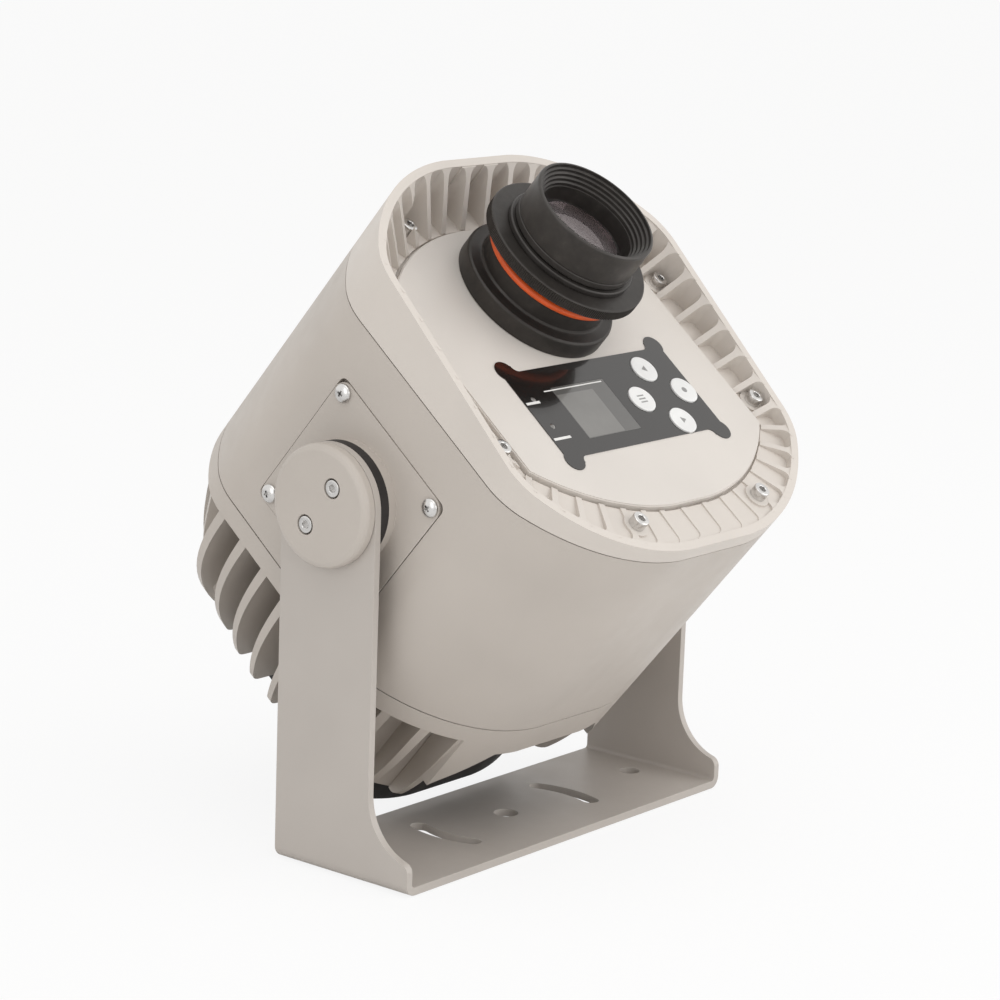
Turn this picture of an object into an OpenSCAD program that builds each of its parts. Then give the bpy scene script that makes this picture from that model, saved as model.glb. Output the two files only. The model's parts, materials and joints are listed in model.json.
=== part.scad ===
// Outdoor gobo projector on a tilting yoke.
// The origin is the centre hole of the foot, on its underside; +Z is up and the front is towards -Y.
// The head is drawn in its own frame: X across, Y up the front face, Z along the lens axis,
// with its origin on the tilt axis.

/* [Yoke bracket] */
// Thickness of the bent plate
plate_t = 4; // [3:0.5:6]
// Depth of the foot, front to back
foot_depth = 86; // [80:1:110]
// Width of each arm, front to back
arm_width = 60; // [56:1:70]
// Height of the tilt axis above the ground
pivot_height = 182; // [181:1:230]
// Distance of the tilt axis behind the line of foot holes
pivot_setback = 13; // [0:1:15]
// Radius of the flare at the front edge of each arm
flare_radius = 30; // [20:1:34]
// Height at which that flare begins
flare_height = 45; // [42:1:60]
// Outer radius of the bend between arm and foot
bend_radius = 6; // [5:0.5:9]
// Diameter of the centre hole of the foot
centre_hole_d = 12.5; // [10:0.5:14]
// Diameter of the two outer holes
outer_hole_d = 11; // [8:0.5:13]
// Distance between the two outer holes
outer_hole_spacing = 210; // [180:2:216]
// Radius of the centreline of the arc slots
slot_radius = 51; // [42:1:60]
// Width of the arc slots
slot_width = 9; // [7:0.5:11]
// Half of the angle that each arc slot spans
slot_half_angle = 20; // [12:1:26]

/* [Pivot] */
// Elevation of the lens at rest
rest_tilt = 50.4; // [45:0.2:58]
// Diameter of the caps, bosses and washers
cap_d = 60; // [56:1:60]
// Thickness of the caps
cap_t = 7; // [6:0.5:9]
// Chamfer of the caps
cap_chamfer = 3; // [1:0.5:3.5]
// Diameter of the stub that turns in the arm
stub_d = 38; // [36:0.5:42]
// Thickness of the friction washer
washer_t = 5.4; // [3:0.2:7]
// Height of the round boss on the side plate
boss_t = 5; // [4:0.5:8]
// Edge length of the square side plate
side_plate_s = 84.2; // [80:0.2:86]
// Distance of its screws from its middle, both ways
side_screw_at = 36.4; // [34:0.2:37]
// Distance of the cap screws from the tilt axis
cap_screw_at = 13; // [10.5:0.5:13.5]

/* [Body] */
// Width of the body
body_w = 224; // [216:1:234]
// Height of the body
body_h = 231; // [225:1:240]
// Radius of the four big corners
corner_r = 106; // [102:1:110]
// Radius that blends the big arcs into the flat sides
side_fillet = 35; // [20:1:45]
// Half length of the flat at top and bottom
corner_e = 20; // [16:1:24]
// Wall of the body
wall = 5; // [4.5:0.25:6]
// Front end of the body, from the tilt axis
body_front = 69; // [66:1:76]
// Rear end of the body, from the tilt axis
body_rear = 59.4; // [56:0.2:66]
// Thickness of the seam gaskets
gasket_t = 0.6; // [0.3:0.1:1.2]
// Distance of the corner screws from the side of the body
screw_inset = 9.6; // [9.4:0.1:10.4]

/* [Front bezel and plate] */
// Depth of the pocket floor in front of the body
bezel_floor = 8; // [7:0.5:10]
// Rim above the floor on the lens side's centre line
rim_height = 14; // [13.9:0.1:18]
// Slope of the rim, rise per length
rim_slope = 0.12; // [0.06:0.01:0.12]
// Thickness of the outer wall
rim_wall = 4.5; // [3.5:0.25:5.5]
// Thickness of the radial ribs
rib_t = 3.4; // [2.4:0.2:4.2]
// Radius of the fillets where the ribs meet the wall
rib_fillet = 3.6; // [2:0.2:4]
// Pitch of the ribs at the sides
rib_pitch = 16.5; // [15.5:0.1:17]
// Pitch of the ribs in the corners, as an angle
rib_angle = 9; // [8.6:0.1:9.2]
// Width of the ribbed border at the sides
border_side = 19; // [18.5:0.25:22]
// Width of the ribbed border at top and bottom
border_top = 24.5; // [23:0.5:28]
// Radius of the corners of the front plate
plate_r = 120; // [114:1:126]
// Gap round the front plate
plate_gap = 1.5; // [0.8:0.1:2]
// Thickness of the front plate
front_plate_t = 4.5; // [3.5:0.25:6]
// How far the front plate stands above the pocket floor
plate_rise = 2.5; // [1.5:0.25:3.5]

/* [Lens] */
// Height of the lens axis above the tilt axis
lens_v = 44.3; // [43:0.1:45]
// Radius of the lens base
base_ring_r = 42; // [41:0.5:43]
// Height of the lens base
base_ring_h = 10; // [8:0.5:12]
// Radius of the neck
neck_r = 34.5; // [33:0.5:36]
// Height of the neck
neck_h = 10.5; // [8:0.5:13]
// Thickness of the O-ring
oring_d = 4; // [3:0.5:5]
// Radius of the focus ring
focus_r = 44; // [42:0.5:46]
// Thickness of the focus ring
focus_t = 6.6; // [5:0.2:9]
// Number of grooves of its knurl
knurls = 72; // [48:6:90]
// Height of the split collar
collar_h = 2.8; // [2:0.2:4]
// Radius of the barrel
barrel_r = 33; // [32:0.5:35]
// Height of the barrel above the collar
barrel_h = 21.7; // [19:0.1:26]
// Radius of the barrel's bore
barrel_bore_r = 22; // [20:0.5:22.5]
// Travel of the barrel when it is focused
focus_travel = 4; // [2:0.5:6]

/* [Control panel] */
// Width of the label
label_w = 126; // [122:1:130]
// Top edge of the label, from the tilt axis
label_top = 0.5; // [-1:0.1:1]
// Height of the label
label_h = 54; // [53:0.5:58]
// Thickness of the label
label_t = 0.4; // [0.3:0.1:0.8]
// Diameter of the buttons
button_d = 16; // [14:0.5:16.5]
// Travel of the buttons
button_travel = 0.8; // [0.4:0.1:0.9]
// Width of the display window
window_w = 41; // [36:0.5:43]
// Height of the display window
window_h = 33; // [28:0.5:34]

/* [Heat sink] */
// Thickness of its base
sink_base_t = 6; // [5:0.5:8]
// Height of the rim round the base
sink_rim_h = 4; // [3:0.5:6]
// Pitch of the straight fins at the sides
fin_pitch = 18.85; // [18.2:0.05:19.2]
// Pitch of the radial fins in the corners, as an angle
fin_angle = 11.85; // [11.4:0.05:12]
// Thickness of the fins at the base
fin_root = 5.4; // [4.4:0.2:6]
// Thickness of the fins at their rear edge
fin_tip = 3; // [2.2:0.2:4]
// Rear edge of the fins behind the tilt axis
fin_depth = 136; // [130:1:138]

/* [Cowl and fan] */
// Half width of the black cowl
cowl_half_w = 60; // [58:1:60]
// Lower edge of the cowl below the tilt axis
cowl_low = 86.5; // [84:0.5:86.5]
// Upper edge of the cowl above the tilt axis
cowl_high = 36; // [30:1:37]
// Rear face of the cowl behind the tilt axis
cowl_depth = 153; // [150:1:153]
// Wall of the cowl
cowl_wall = 2.5; // [2:0.25:3.5]
// Size of the square fan
fan_s = 92; // [88:1:94]
// Depth of the fan
fan_t = 25; // [20:1:30]
// Number of fan blades
blades = 7; // [5:1:9]

/* [Light path] */
// Distance of the gobo wheel's shaft below the lens axis
wheel_drop = 48; // [47:0.5:50]
// Number of gobos
gobos = 5; // [3:1:6]
// Diameter of the gobo glasses
gobo_d = 37.8; // [30:0.2:38]
// Outer radius of the condenser tube
condenser_r = 30; // [28:0.5:31]

/* [Hidden] */
$fn = 48;
slip = 0.05;                  // radial clearance of turning and sliding fits, and of threads
half_w = body_w / 2;
half_h = body_h / 2;
corner_c = half_h - corner_r;  // height of the corner centres

// pivot, along X
plate_proud = 0.4;
recess_gap = 0.4;
recess_d = 4.2;
arm_play = 0.15;
boss_x = half_w + plate_proud;                  // outer face of the side plate
washer_x = boss_x + boss_t;
arm_in = washer_x + washer_t + arm_play;        // inner face of the arm
yoke_half = arm_in + plate_t;
cap_x = yoke_half + arm_play;                   // inner face of the cap
stub_r = stub_d / 2;
head_m5 = 4.25;                                 // radius of an M5 socket head
bore_m5 = 2.5;

// foot
foot_back = pivot_setback + arm_width / 2;
foot_front = foot_back - foot_depth;
arm_front = pivot_setback - arm_width / 2;

// along the lens axis
bezel_z = body_front + gasket_t;
floor_z = bezel_z + bezel_floor;
plate_z = floor_z + plate_rise;                 // front face of the plate
seat_z = plate_z - front_plate_t;               // seat of the plate
ledge_t = 3.5;
rim_z = floor_z + rim_height;
plate_w = half_w - border_side;
plate_h = half_h - border_top;
plate_e = 8;
bezel_seat = floor_z + 1;

// corner screws of the bezel
function edge_v(x) = corner_c + sqrt(pow(corner_r, 2) - pow(x - corner_e, 2));
bezel_x2 = 49.4;
// each with the angle at which its boss joins the wall
bezel_screws = [[half_w - screw_inset - 0.9, 2.5 * rib_pitch, 0], [bezel_x2, edge_v(bezel_x2) - 15.4, 71]];

// lens, along its axis
base_top = plate_z + base_ring_h;
neck_top = base_top + neck_h;
shoulder_top = neck_top + oring_d + 4.2;
journal_r = 29;
play = 0.2;
focus_z = shoulder_top + play;
collar_z = focus_z + focus_t + play;
journal_top = collar_z + collar_h;
barrel_z = journal_top + 0.3;
barrel_top = barrel_z + barrel_h;
tail_r = 26;
tail_z = plate_z - 10;
base_tail_z = seat_z - 8;

// Control panel
board_t = 1.6;
board_z = seat_z - 8 - board_t;
label_bottom = label_top - label_h;
window_c = [-17.5, label_top - 29];
button_r = button_d / 2;
button_rise = 1.2;
buttons = [[37.6, label_top - 11.9], [54.4, label_top - 28.7], [19, label_top - 29.2], [36.2, label_top - 46]];
lights = [[-55, label_top - 17.5], [-56, label_top - 34.5]];
board_fix = [[-56, label_top - 5], [56, label_top - 5], [-56, label_bottom + 5], [56, label_bottom + 5]];

// heat sink, behind the tilt axis
sink_z = -(body_rear + gasket_t);
root_z = sink_z - sink_base_t;
rim_end_z = root_z - sink_rim_h;
fin_shift = 4.45;
corner_sag = [0.33, 14, 4];                     // how the corner fins' outer edge draws in with depth
low_corner_sag = [0.1, 8, 4];
low_fins = [for (k = [0:3]) 29.5 + k * fin_angle];
high_fins = [for (k = [0:4]) 36.5 + k * fin_angle];
function rear_at(v) = -fin_depth - (v < -24 ? 0 : v < 52 ? 0.33 * (v + 24) : 25 - 0.85 * (v - 52));
function fin_gap_v(k) = fin_shift + k * fin_pitch;
function corner_pt(a, inset, s) = [corner_e + (corner_r - inset) * cos(a), s * (corner_c + (corner_r - inset) * sin(a))];
rear_screws = [[half_w - screw_inset, fin_gap_v(2)], [half_w - screw_inset, fin_gap_v(-2)],
               corner_pt(36.5 + 2.5 * fin_angle, screw_inset, 1), corner_pt(29.5 + 1.5 * fin_angle, screw_inset, -1)];

// cowl and fan
cowl_mid = (cowl_high - cowl_low) / 2;
cowl_seat = root_z;
fan_v = cowl_mid;
fan_rear = -cowl_depth + cowl_wall;
fan_front = fan_rear + fan_t;
fan_bore = fan_s / 2 - 3.5;
fan_fix = fan_s / 2 - 4.75;
guard_wire = 0.9;

// light path
wheel_v = lens_v - wheel_drop;
optics_z = -4.5;
optics_t = 2.5;
wheel_z = optics_z + optics_t + 5.5;
wheel_t = 3;
wheel_r = wheel_drop + gobo_d / 2 + 2;
motor_s = 28;
motor_l = 32;
posts = [[50, lens_v + 34], [-50, lens_v + 34], [50, wheel_v - 20], [-50, wheel_v - 20]];
psu = [80, 27, 108];
psu_v = -104;
psu_z = -46;

// Shapes that several pieces share

module head() translate([0, pivot_setback, pivot_height]) rotate([90 - rest_tilt, 0, 0]) children();

module mirrored_x() { children(); mirror([1, 0, 0]) children(); }

module four_ways() { mirrored_x() children(); mirror([0, 1, 0]) mirrored_x() children(); }

// Outline with flat sides and four big arcs: half width, half height, arc radius, half length of the end flats
module outline(w, h, r, e) difference() {
  square([2 * w, 2 * h], center = true);
  for (sx = [0, 1], sy = [0, 1]) mirror([sx, 0]) mirror([0, sy]) difference() {
    translate([e, max(h - r, 0)]) square([w - e + 1, h - max(h - r, 0) + 1]);
    translate([e, h - r]) circle(r, $fn = 96);
  }
}

// Centre of the arc between a big arc and a flat side, and where the two arcs meet
fillet_c = [half_w - side_fillet, corner_c + sqrt(pow(corner_r - side_fillet, 2) - pow(half_w - side_fillet - corner_e, 2))];
fillet_turn = atan2(fillet_c[1] - corner_c, fillet_c[0] - corner_e);

module section(inset) difference() {
  outline(half_w - inset, half_h - inset, corner_r - inset, corner_e);
  for (sx = [0, 1], sy = [0, 1]) mirror([sx, 0]) mirror([0, sy]) translate(fillet_c) difference() {
    polygon([[0, 0], [side_fillet + 1, 0], [side_fillet + 1, (side_fillet + 1) * tan(fillet_turn)]]);
    circle(side_fillet - inset + 0.02, $fn = 96);
  }
}

module plate_outline(grow) outline(plate_w + grow, plate_h + grow, plate_r + grow, plate_e);

module section_ring(outer, inner, z, h)
  translate([0, 0, z]) linear_extrude(h) difference() { section(outer); section(inner); }

module rounded_square(s, r) {
  square([s - 2 * r, s], center = true);
  square([s, s - 2 * r], center = true);
  for (sx = [-1, 1], sy = [-1, 1]) translate([sx * (s / 2 - r), sy * (s / 2 - r)]) circle(r);
}

// Distance from a point to the outline along a direction, in the quadrant of positive x and y
function to_line(d, c) = abs(c) < 0.001 ? 10000 : d / c;
function to_arc(c, a, w, h, r, e) =
  let (px = c[0] - e, py = c[1] - (h - r), b = px * cos(a) + py * sin(a)) sqrt(b * b - px * px - py * py + r * r) - b;
function reach(c, a, w, h, r, e) =
  min(to_line(w - c[0], cos(a)), to_line(h - c[1], sin(a)), to_arc(c, a, w, h, r, e));

// Socket-head screw: head above z = 0, shank below
module socket_screw(head_r, head_h, shank_r, shank_l, key) {
  difference() {
    cylinder(r = head_r, h = head_h);
    translate([0, 0, head_h * 0.45]) cylinder(r = key, h = head_h, $fn = 6);
  }
  translate([0, 0, -shank_l]) cylinder(r = shank_r, h = shank_l + 0.01);
}

// Pan-head screw with a cross recess
module pan_screw(head_r, head_h, shank_r, shank_l) {
  difference() {
    intersection() {
      cylinder(r = head_r, h = head_h);
      translate([0, 0, head_h - head_r * 1.9]) sphere(head_r * 1.9);
    }
    for (a = [0, 90]) rotate([0, 0, a]) translate([-head_r * 0.6, -head_r * 0.13, head_h - 1.6])
      cube([head_r * 1.2, head_r * 0.26, 3]);
  }
  translate([0, 0, -shank_l]) cylinder(r = shank_r, h = shank_l + 0.01);
}

// Turned ring on the lens axis: points of radius and height
module turned(points) translate([0, lens_v, 0]) rotate_extrude($fn = 96) polygon(points);

// Yoke bracket

module arc_slot() {
  intersection() {
    difference() { circle(slot_radius + slot_width / 2, $fn = 96); circle(slot_radius - slot_width / 2, $fn = 96); }
    polygon([[0, 0], [90, -90 * tan(slot_half_angle)], [90, 90 * tan(slot_half_angle)]]);
  }
  for (s = [-1, 1]) rotate(s * slot_half_angle) translate([slot_radius, 0]) circle(slot_width / 2 + 0.02);
}

// Side view of an arm with its flare, y then z; the flare runs into a small rounded nose
module arm_side() {
  nose_r = 5;
  flare = [arm_front - flare_radius, flare_height];
  dx = max(0, foot_front + nose_r - flare[0]);
  nose = [foot_front + nose_r, flare_height - sqrt(pow(flare_radius + nose_r, 2) - dx * dx)];
  touch = nose[0] - nose_r * dx / (flare_radius + nose_r);
  translate([pivot_setback, pivot_height]) circle(arm_width / 2, $fn = 96);
  translate([arm_front, 0]) square([arm_width, pivot_height]);
  difference() {
    translate([foot_front, 0]) square([arm_front - foot_front + 1, flare_height]);
    translate(flare) circle(flare_radius, $fn = 96);
    if (flare[0] > foot_front) translate([foot_front - 1, flare_height - flare_radius])
      square([flare[0] - foot_front + 1, flare_radius + 1]);
    difference() {
      translate([foot_front - 1, nose[1]]) square([touch - foot_front + 1, 2 * nose_r]);
      translate(nose) circle(nose_r + 0.03);
    }
  }
}

module yoke_bracket() color([0.66, 0.64, 0.61]) {
  bend_in = bend_radius - plate_t;
  difference() {
    intersection() {
      translate([0, foot_back, 0]) rotate([90, 0, 0]) linear_extrude(foot_depth) difference() {
        union() {
          translate([-yoke_half, bend_radius]) square([2 * yoke_half, pivot_height + arm_width]);
          translate([-yoke_half + bend_radius, 0]) square([2 * (yoke_half - bend_radius), bend_radius + 1]);
          for (s = [-1, 1]) translate([s * (yoke_half - bend_radius), bend_radius]) circle(bend_radius);
        }
        translate([-arm_in, plate_t + bend_in]) square([2 * arm_in, pivot_height + arm_width]);
        translate([-arm_in + bend_in, plate_t]) square([2 * (arm_in - bend_in), bend_in + 1]);
        for (s = [-1, 1]) translate([s * (arm_in - bend_in), plate_t + bend_in]) circle(bend_in);
      }
      translate([-yoke_half - 1, 0, 0]) rotate([90, 0, 90]) linear_extrude(2 * yoke_half + 2) arm_side();
    }
    translate([0, 0, -1]) cylinder(d = centre_hole_d, h = plate_t + 2);
    for (s = [-1, 1]) translate([s * outer_hole_spacing / 2, 0, -1]) cylinder(d = outer_hole_d, h = plate_t + 2);
    translate([0, 0, -1]) linear_extrude(plate_t + 2) mirrored_x() arc_slot();
    for (s = [-1, 1]) translate([s * (arm_in + plate_t / 2), pivot_setback, pivot_height]) rotate([0, 90, 0])
      cylinder(r = stub_r + slip, h = plate_t + 2, center = true, $fn = 96);
  }
}

// Pivot

// Right-hand side plate with its boss and stub, along +X
module side_plate() {
  difference() {
    union() {
      translate([boss_x, 0, 0]) rotate([0, -90, 0]) linear_extrude(recess_d + plate_proud)
        rounded_square(side_plate_s, 7);
      translate([boss_x - 1, 0, 0]) rotate([0, 90, 0]) cylinder(d = cap_d, h = boss_t + 1, $fn = 96);
      translate([boss_x, 0, 0]) rotate([0, 90, 0]) cylinder(r = stub_r, h = cap_x - boss_x, $fn = 96);
    }
    for (sy = [-1, 1], sz = [-1, 1]) translate([half_w - recess_d - 1, sy * side_screw_at, sz * side_screw_at])
      rotate([0, 90, 0]) cylinder(r = 2.75, h = recess_d + 4);
    for (s = [-1, 1]) translate([cap_x - 14, 0, s * cap_screw_at]) rotate([0, 90, 0])
      cylinder(r = bore_m5 + slip, h = 15);
  }
}

module side_plate_right() color([0.72, 0.69, 0.65]) head() side_plate();

module side_plate_left() color([0.72, 0.69, 0.65]) head() mirror([1, 0, 0]) side_plate();

module friction_washers() color([0.12, 0.11, 0.11]) head() mirrored_x() translate([washer_x, 0, 0]) rotate([0, 90, 0])
  difference() {
    cylinder(d = cap_d, h = washer_t, $fn = 96);
    translate([0, 0, -1]) cylinder(r = stub_r + 0.3, h = washer_t + 2, $fn = 96);
  }

module cap() translate([cap_x, 0, 0]) rotate([0, 90, 0]) difference() {
  rotate_extrude($fn = 96) polygon([[0, 0], [cap_d / 2, 0], [cap_d / 2, cap_t - cap_chamfer],
    [cap_d / 2 - cap_chamfer * 0.3, cap_t - cap_chamfer * 0.3], [cap_d / 2 - cap_chamfer, cap_t], [0, cap_t]]);
  for (s = [-1, 1]) translate([s * cap_screw_at, 0, -1]) {
    cylinder(r = 2.75, h = cap_t + 2);
    translate([0, 0, cap_t - 4.2 + 1]) cylinder(r = head_m5 + 0.65, h = cap_t);
  }
}

module cap_right() color([0.74, 0.71, 0.67]) head() cap();

module cap_left() color([0.74, 0.71, 0.67]) head() mirror([1, 0, 0]) cap();

module cap_screws() color([0.75, 0.75, 0.74]) head() mirrored_x() for (s = [-1, 1])
  translate([cap_x + cap_t - 4.2, 0, s * cap_screw_at]) rotate([0, 90, 0])
    socket_screw(head_m5, 4, bore_m5, 14, 2.3);

module side_plate_screws() color([0.75, 0.75, 0.74]) head() mirrored_x() for (sy = [-1, 1], sz = [-1, 1])
  translate([boss_x, sy * side_screw_at, sz * side_screw_at]) rotate([0, 90, 0])
    pan_screw(4.75, 3, bore_m5, recess_d + plate_proud + 7);

// Body

module body_shell() color([0.73, 0.7, 0.66]) head() {
  length = body_front + body_rear;
  pad = side_plate_s + 14;
  boss_l = 25;
  rear_l = 16;
  difference() {
    union() {
      section_ring(0, wall, -body_rear, length);
      mirrored_x() translate([half_w - wall - 5, -pad / 2, -pad / 2]) cube([6, pad, pad]);
      intersection() {
        translate([0, 0, -body_rear]) linear_extrude(length) section(1);
        union() {
          for (p = bezel_screws) four_ways() translate([p[0], p[1], body_front - boss_l]) {
            cylinder(r = 6, h = boss_l);
            rotate([0, 0, p[2]]) translate([0, -4, 0]) cube([20, 8, boss_l]);
          }
          for (p = rear_screws) mirrored_x() translate([p[0], p[1], -body_rear]) cylinder(r = 6, h = rear_l);
          mirrored_x() translate([28, -half_h, psu_z + 4]) cube([4, half_h + psu_v, psu[2] - 8]);
        }
      }
    }
    mirrored_x() translate([half_w + 1, 0, 0]) rotate([0, -90, 0]) linear_extrude(recess_d + 1)
      rounded_square(side_plate_s + 2 * recess_gap, 4);
    mirrored_x() for (sy = [-1, 1], sz = [-1, 1]) translate([half_w - wall - 6, sy * side_screw_at, sz * side_screw_at])
      rotate([0, 90, 0]) cylinder(r = bore_m5 + slip, h = 10);
    for (p = bezel_screws) four_ways() translate([p[0], p[1], body_front - 19]) cylinder(r = bore_m5 + slip, h = 20);
    for (p = rear_screws) mirrored_x() translate([p[0], p[1], -body_rear - 1]) cylinder(r = bore_m5 + slip, h = 13);
  }
}

module front_gasket() color([0.12, 0.11, 0.11]) head() section_ring(0.7, wall - 0.5, body_front, gasket_t);

module rear_gasket() color([0.12, 0.11, 0.11]) head() section_ring(0.7, wall - 0.5, sink_z, gasket_t);

// Front bezel

// Radial rib from the plate's edge to the wall, which it joins in a fillet on each side.
// Top and bottom differ in height because the rim slopes.
module bezel_rib(c, a, s) {
  r0 = reach(c, a, plate_w + plate_gap, plate_h + plate_gap, plate_r + plate_gap, plate_e);
  r1 = reach(c, a, half_w - rim_wall, half_h - rim_wall, corner_r - rim_wall, corner_e);
  top = rim_z + rim_slope * s * (c[1] + r1 * sin(a)) - 0.3;
  wide = rib_t / 2 + rib_fillet;
  fillet = [for (i = [0:4]) let (b = i * 22.5) [r1 + 0.06 - rib_fillet * (1 - sin(b)), wide - rib_fillet * cos(b)]];
  half = concat([[r0 - 2, rib_t / 2]], fillet, [[r1 + 1.5, wide]]);
  n = len(half) - 1;
  mirror([0, s < 0 ? 1 : 0, 0]) translate([c[0], c[1], 0]) rotate([0, 0, a]) intersection() {
    translate([0, 0, floor_z - 1]) linear_extrude(60)
      polygon(concat(half, [for (i = [0:n]) [half[n - i][0], -half[n - i][1]]]));
    translate([0, wide + 1, 0]) rotate([90, 0, 0]) linear_extrude(2 * wide + 2)
      polygon([[r0 - 3, floor_z - 2], [r1 + 2, floor_z - 2], [r1 + 2, top], [r1, top], [r0, floor_z + 0.8],
               [r0 - 3, floor_z + 0.8]]);
  }
}

module front_bezel() color([0.8, 0.77, 0.73]) head() {
  difference() {
    union() {
      difference() {
        section_ring(0, rim_wall, bezel_z, floor_z - bezel_z + rim_height + rim_slope * half_h + 2);
        translate([0, 0, rim_z]) rotate([atan(rim_slope), 0, 0]) translate([-half_w - 1, -half_h * 2, 0])
          cube([2 * half_w + 2, half_h * 4, 60]);
      }
      translate([0, 0, seat_z - ledge_t]) linear_extrude(floor_z - seat_z + ledge_t) section(1);
      intersection() {
        translate([0, 0, bezel_z]) linear_extrude(60) section(1);
        mirrored_x() for (s = [-1, 1]) {
          for (k = [0:3]) if (s > 0 || k > 0) bezel_rib([0, k * rib_pitch], 0, s);
          for (k = [0:6]) bezel_rib([corner_e, corner_c], 33 + k * rib_angle, s);
          bezel_rib([8.5, 0], 90, s);
        }
      }
      for (p = bezel_screws) four_ways() translate([p[0], p[1], bezel_z]) cylinder(r = 6.7, h = bezel_seat - bezel_z);
    }
    translate([0, 0, seat_z]) linear_extrude(60) plate_outline(plate_gap);
    translate([0, 0, seat_z - ledge_t - 1]) linear_extrude(ledge_t + 2) plate_outline(-8);
    for (p = bezel_screws) four_ways() translate([p[0], p[1], 0]) {
      translate([0, 0, bezel_z - 1]) cylinder(r = 2.75, h = 20);
      translate([0, 0, bezel_seat]) cylinder(r = 6.2, h = 40);
    }
    for (p = plate_fix) translate([p[0], p[1], seat_z - ledge_t - 1]) cylinder(r = 1.75, h = ledge_t + 2);
  }
}

module bezel_screws() color([0.75, 0.75, 0.74]) head() for (p = bezel_screws) four_ways()
  translate([p[0], p[1], bezel_seat]) socket_screw(head_m5, 5, bore_m5, bezel_seat - body_front + 16, 2.3);

// Front plate

plate_fix = [[plate_w - 4, 30], [4 - plate_w, 30], [plate_w - 4, -30], [4 - plate_w, -30], [24, plate_h - 4],
             [-24, plate_h - 4], [24, 4 - plate_h], [-24, 4 - plate_h]];
lens_fix = [for (k = [0:3]) [36 * cos(45 + 90 * k), lens_v + 36 * sin(45 + 90 * k)]];

module front_plate() color([0.84, 0.82, 0.79]) head() {
  difference() {
    union() {
      translate([0, 0, seat_z]) linear_extrude(front_plate_t - 0.6) plate_outline(0);
      translate([0, 0, plate_z - 0.61]) linear_extrude(0.61) plate_outline(-0.5);
      for (p = board_fix) translate([p[0], p[1], board_z + board_t]) cylinder(r = 3.5, h = seat_z - board_z - board_t + 0.5);
    }
    translate([0, lens_v, seat_z - 1]) cylinder(r = journal_r + 0.3, h = front_plate_t + 2, $fn = 96);
    translate([window_c[0] - window_w / 2 + 1.5, window_c[1] - window_h / 2 + 1.5, seat_z - 1])
      cube([window_w - 3, window_h - 3, front_plate_t + 2]);
    for (p = buttons) translate([p[0], p[1], seat_z - 1]) cylinder(r = button_r + 0.3, h = front_plate_t + 2);
    for (p = lights) translate([p[0], p[1], seat_z - 1]) cylinder(r = 1.6, h = front_plate_t + 2);
    for (p = lens_fix) translate([p[0], p[1], seat_z - 1]) cylinder(r = 2.2, h = front_plate_t + 2);
    for (p = plate_fix) translate([p[0], p[1], seat_z - 1]) cylinder(r = 1.5 + slip, h = 4);
    for (p = board_fix) translate([p[0], p[1], board_z]) cylinder(r = 1.5 + slip, h = seat_z - board_z);
  }
}

module front_plate_screws() color([0.75, 0.75, 0.74]) head() for (p = plate_fix)
  translate([p[0], p[1], seat_z - ledge_t]) mirror([0, 0, 1]) socket_screw(2.75, 2.5, 1.5, ledge_t + 2.6, 1.3);

// Lens

module lens_base() color([0.14, 0.13, 0.12]) head() {
  difference() {
    turned([[tail_r + slip, base_tail_z], [journal_r, base_tail_z], [journal_r, plate_z], [base_ring_r, plate_z],
            [base_ring_r, base_top - 1.2], [base_ring_r - 1.2, base_top], [neck_r + 1.5, base_top],
            [neck_r, base_top + 1.5], [neck_r, neck_top], [neck_r - 1.5, neck_top], [neck_r - 1.5, neck_top + oring_d],
            [neck_r + 1.5, neck_top + oring_d], [neck_r + 1.5, shoulder_top], [journal_r, shoulder_top],
            [journal_r, journal_top], [tail_r + slip, journal_top]]);
    for (p = lens_fix) translate([p[0], p[1], plate_z - 1]) cylinder(r = 2 + slip, h = 8);
  }
}

module lens_base_screws() color([0.75, 0.75, 0.74]) head() for (p = lens_fix)
  translate([p[0], p[1], seat_z]) mirror([0, 0, 1]) socket_screw(3.5, 3.5, 2, front_plate_t + 6, 1.7);

module o_ring() color([0.9, 0.33, 0.14]) head() translate([0, lens_v, neck_top + oring_d / 2])
  rotate_extrude($fn = 96) translate([neck_r - 1.45 + oring_d / 2, 0]) circle(oring_d / 2 - 0.02);

module focus_ring() color([0.16, 0.15, 0.14]) head() difference() {
  turned([[journal_r + slip, focus_z], [focus_r - 1, focus_z], [focus_r, focus_z + 1],
          [focus_r, focus_z + focus_t - 1], [focus_r - 1, focus_z + focus_t], [journal_r + slip, focus_z + focus_t]]);
  for (k = [0:knurls - 1]) translate([0, lens_v, 0]) rotate([0, 0, k * 360 / knurls])
    translate([focus_r + 0.35, 0, focus_z + 1.2]) rotate([0, 0, 45]) translate([-0.6, -0.6, 0])
      cube([1.2, 1.2, focus_t - 2.4]);
}

module split_collar() color([0.14, 0.13, 0.12]) head() difference() {
  turned([[journal_r, collar_z], [neck_r + 0.5, collar_z], [neck_r + 0.5, journal_top - 0.5],
          [neck_r, journal_top], [journal_r, journal_top]]);
  translate([0, lens_v, 0]) rotate([0, 0, 20]) translate([0, -2, collar_z - 1]) cube([neck_r + 3, 4, collar_h + 2]);
}

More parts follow.
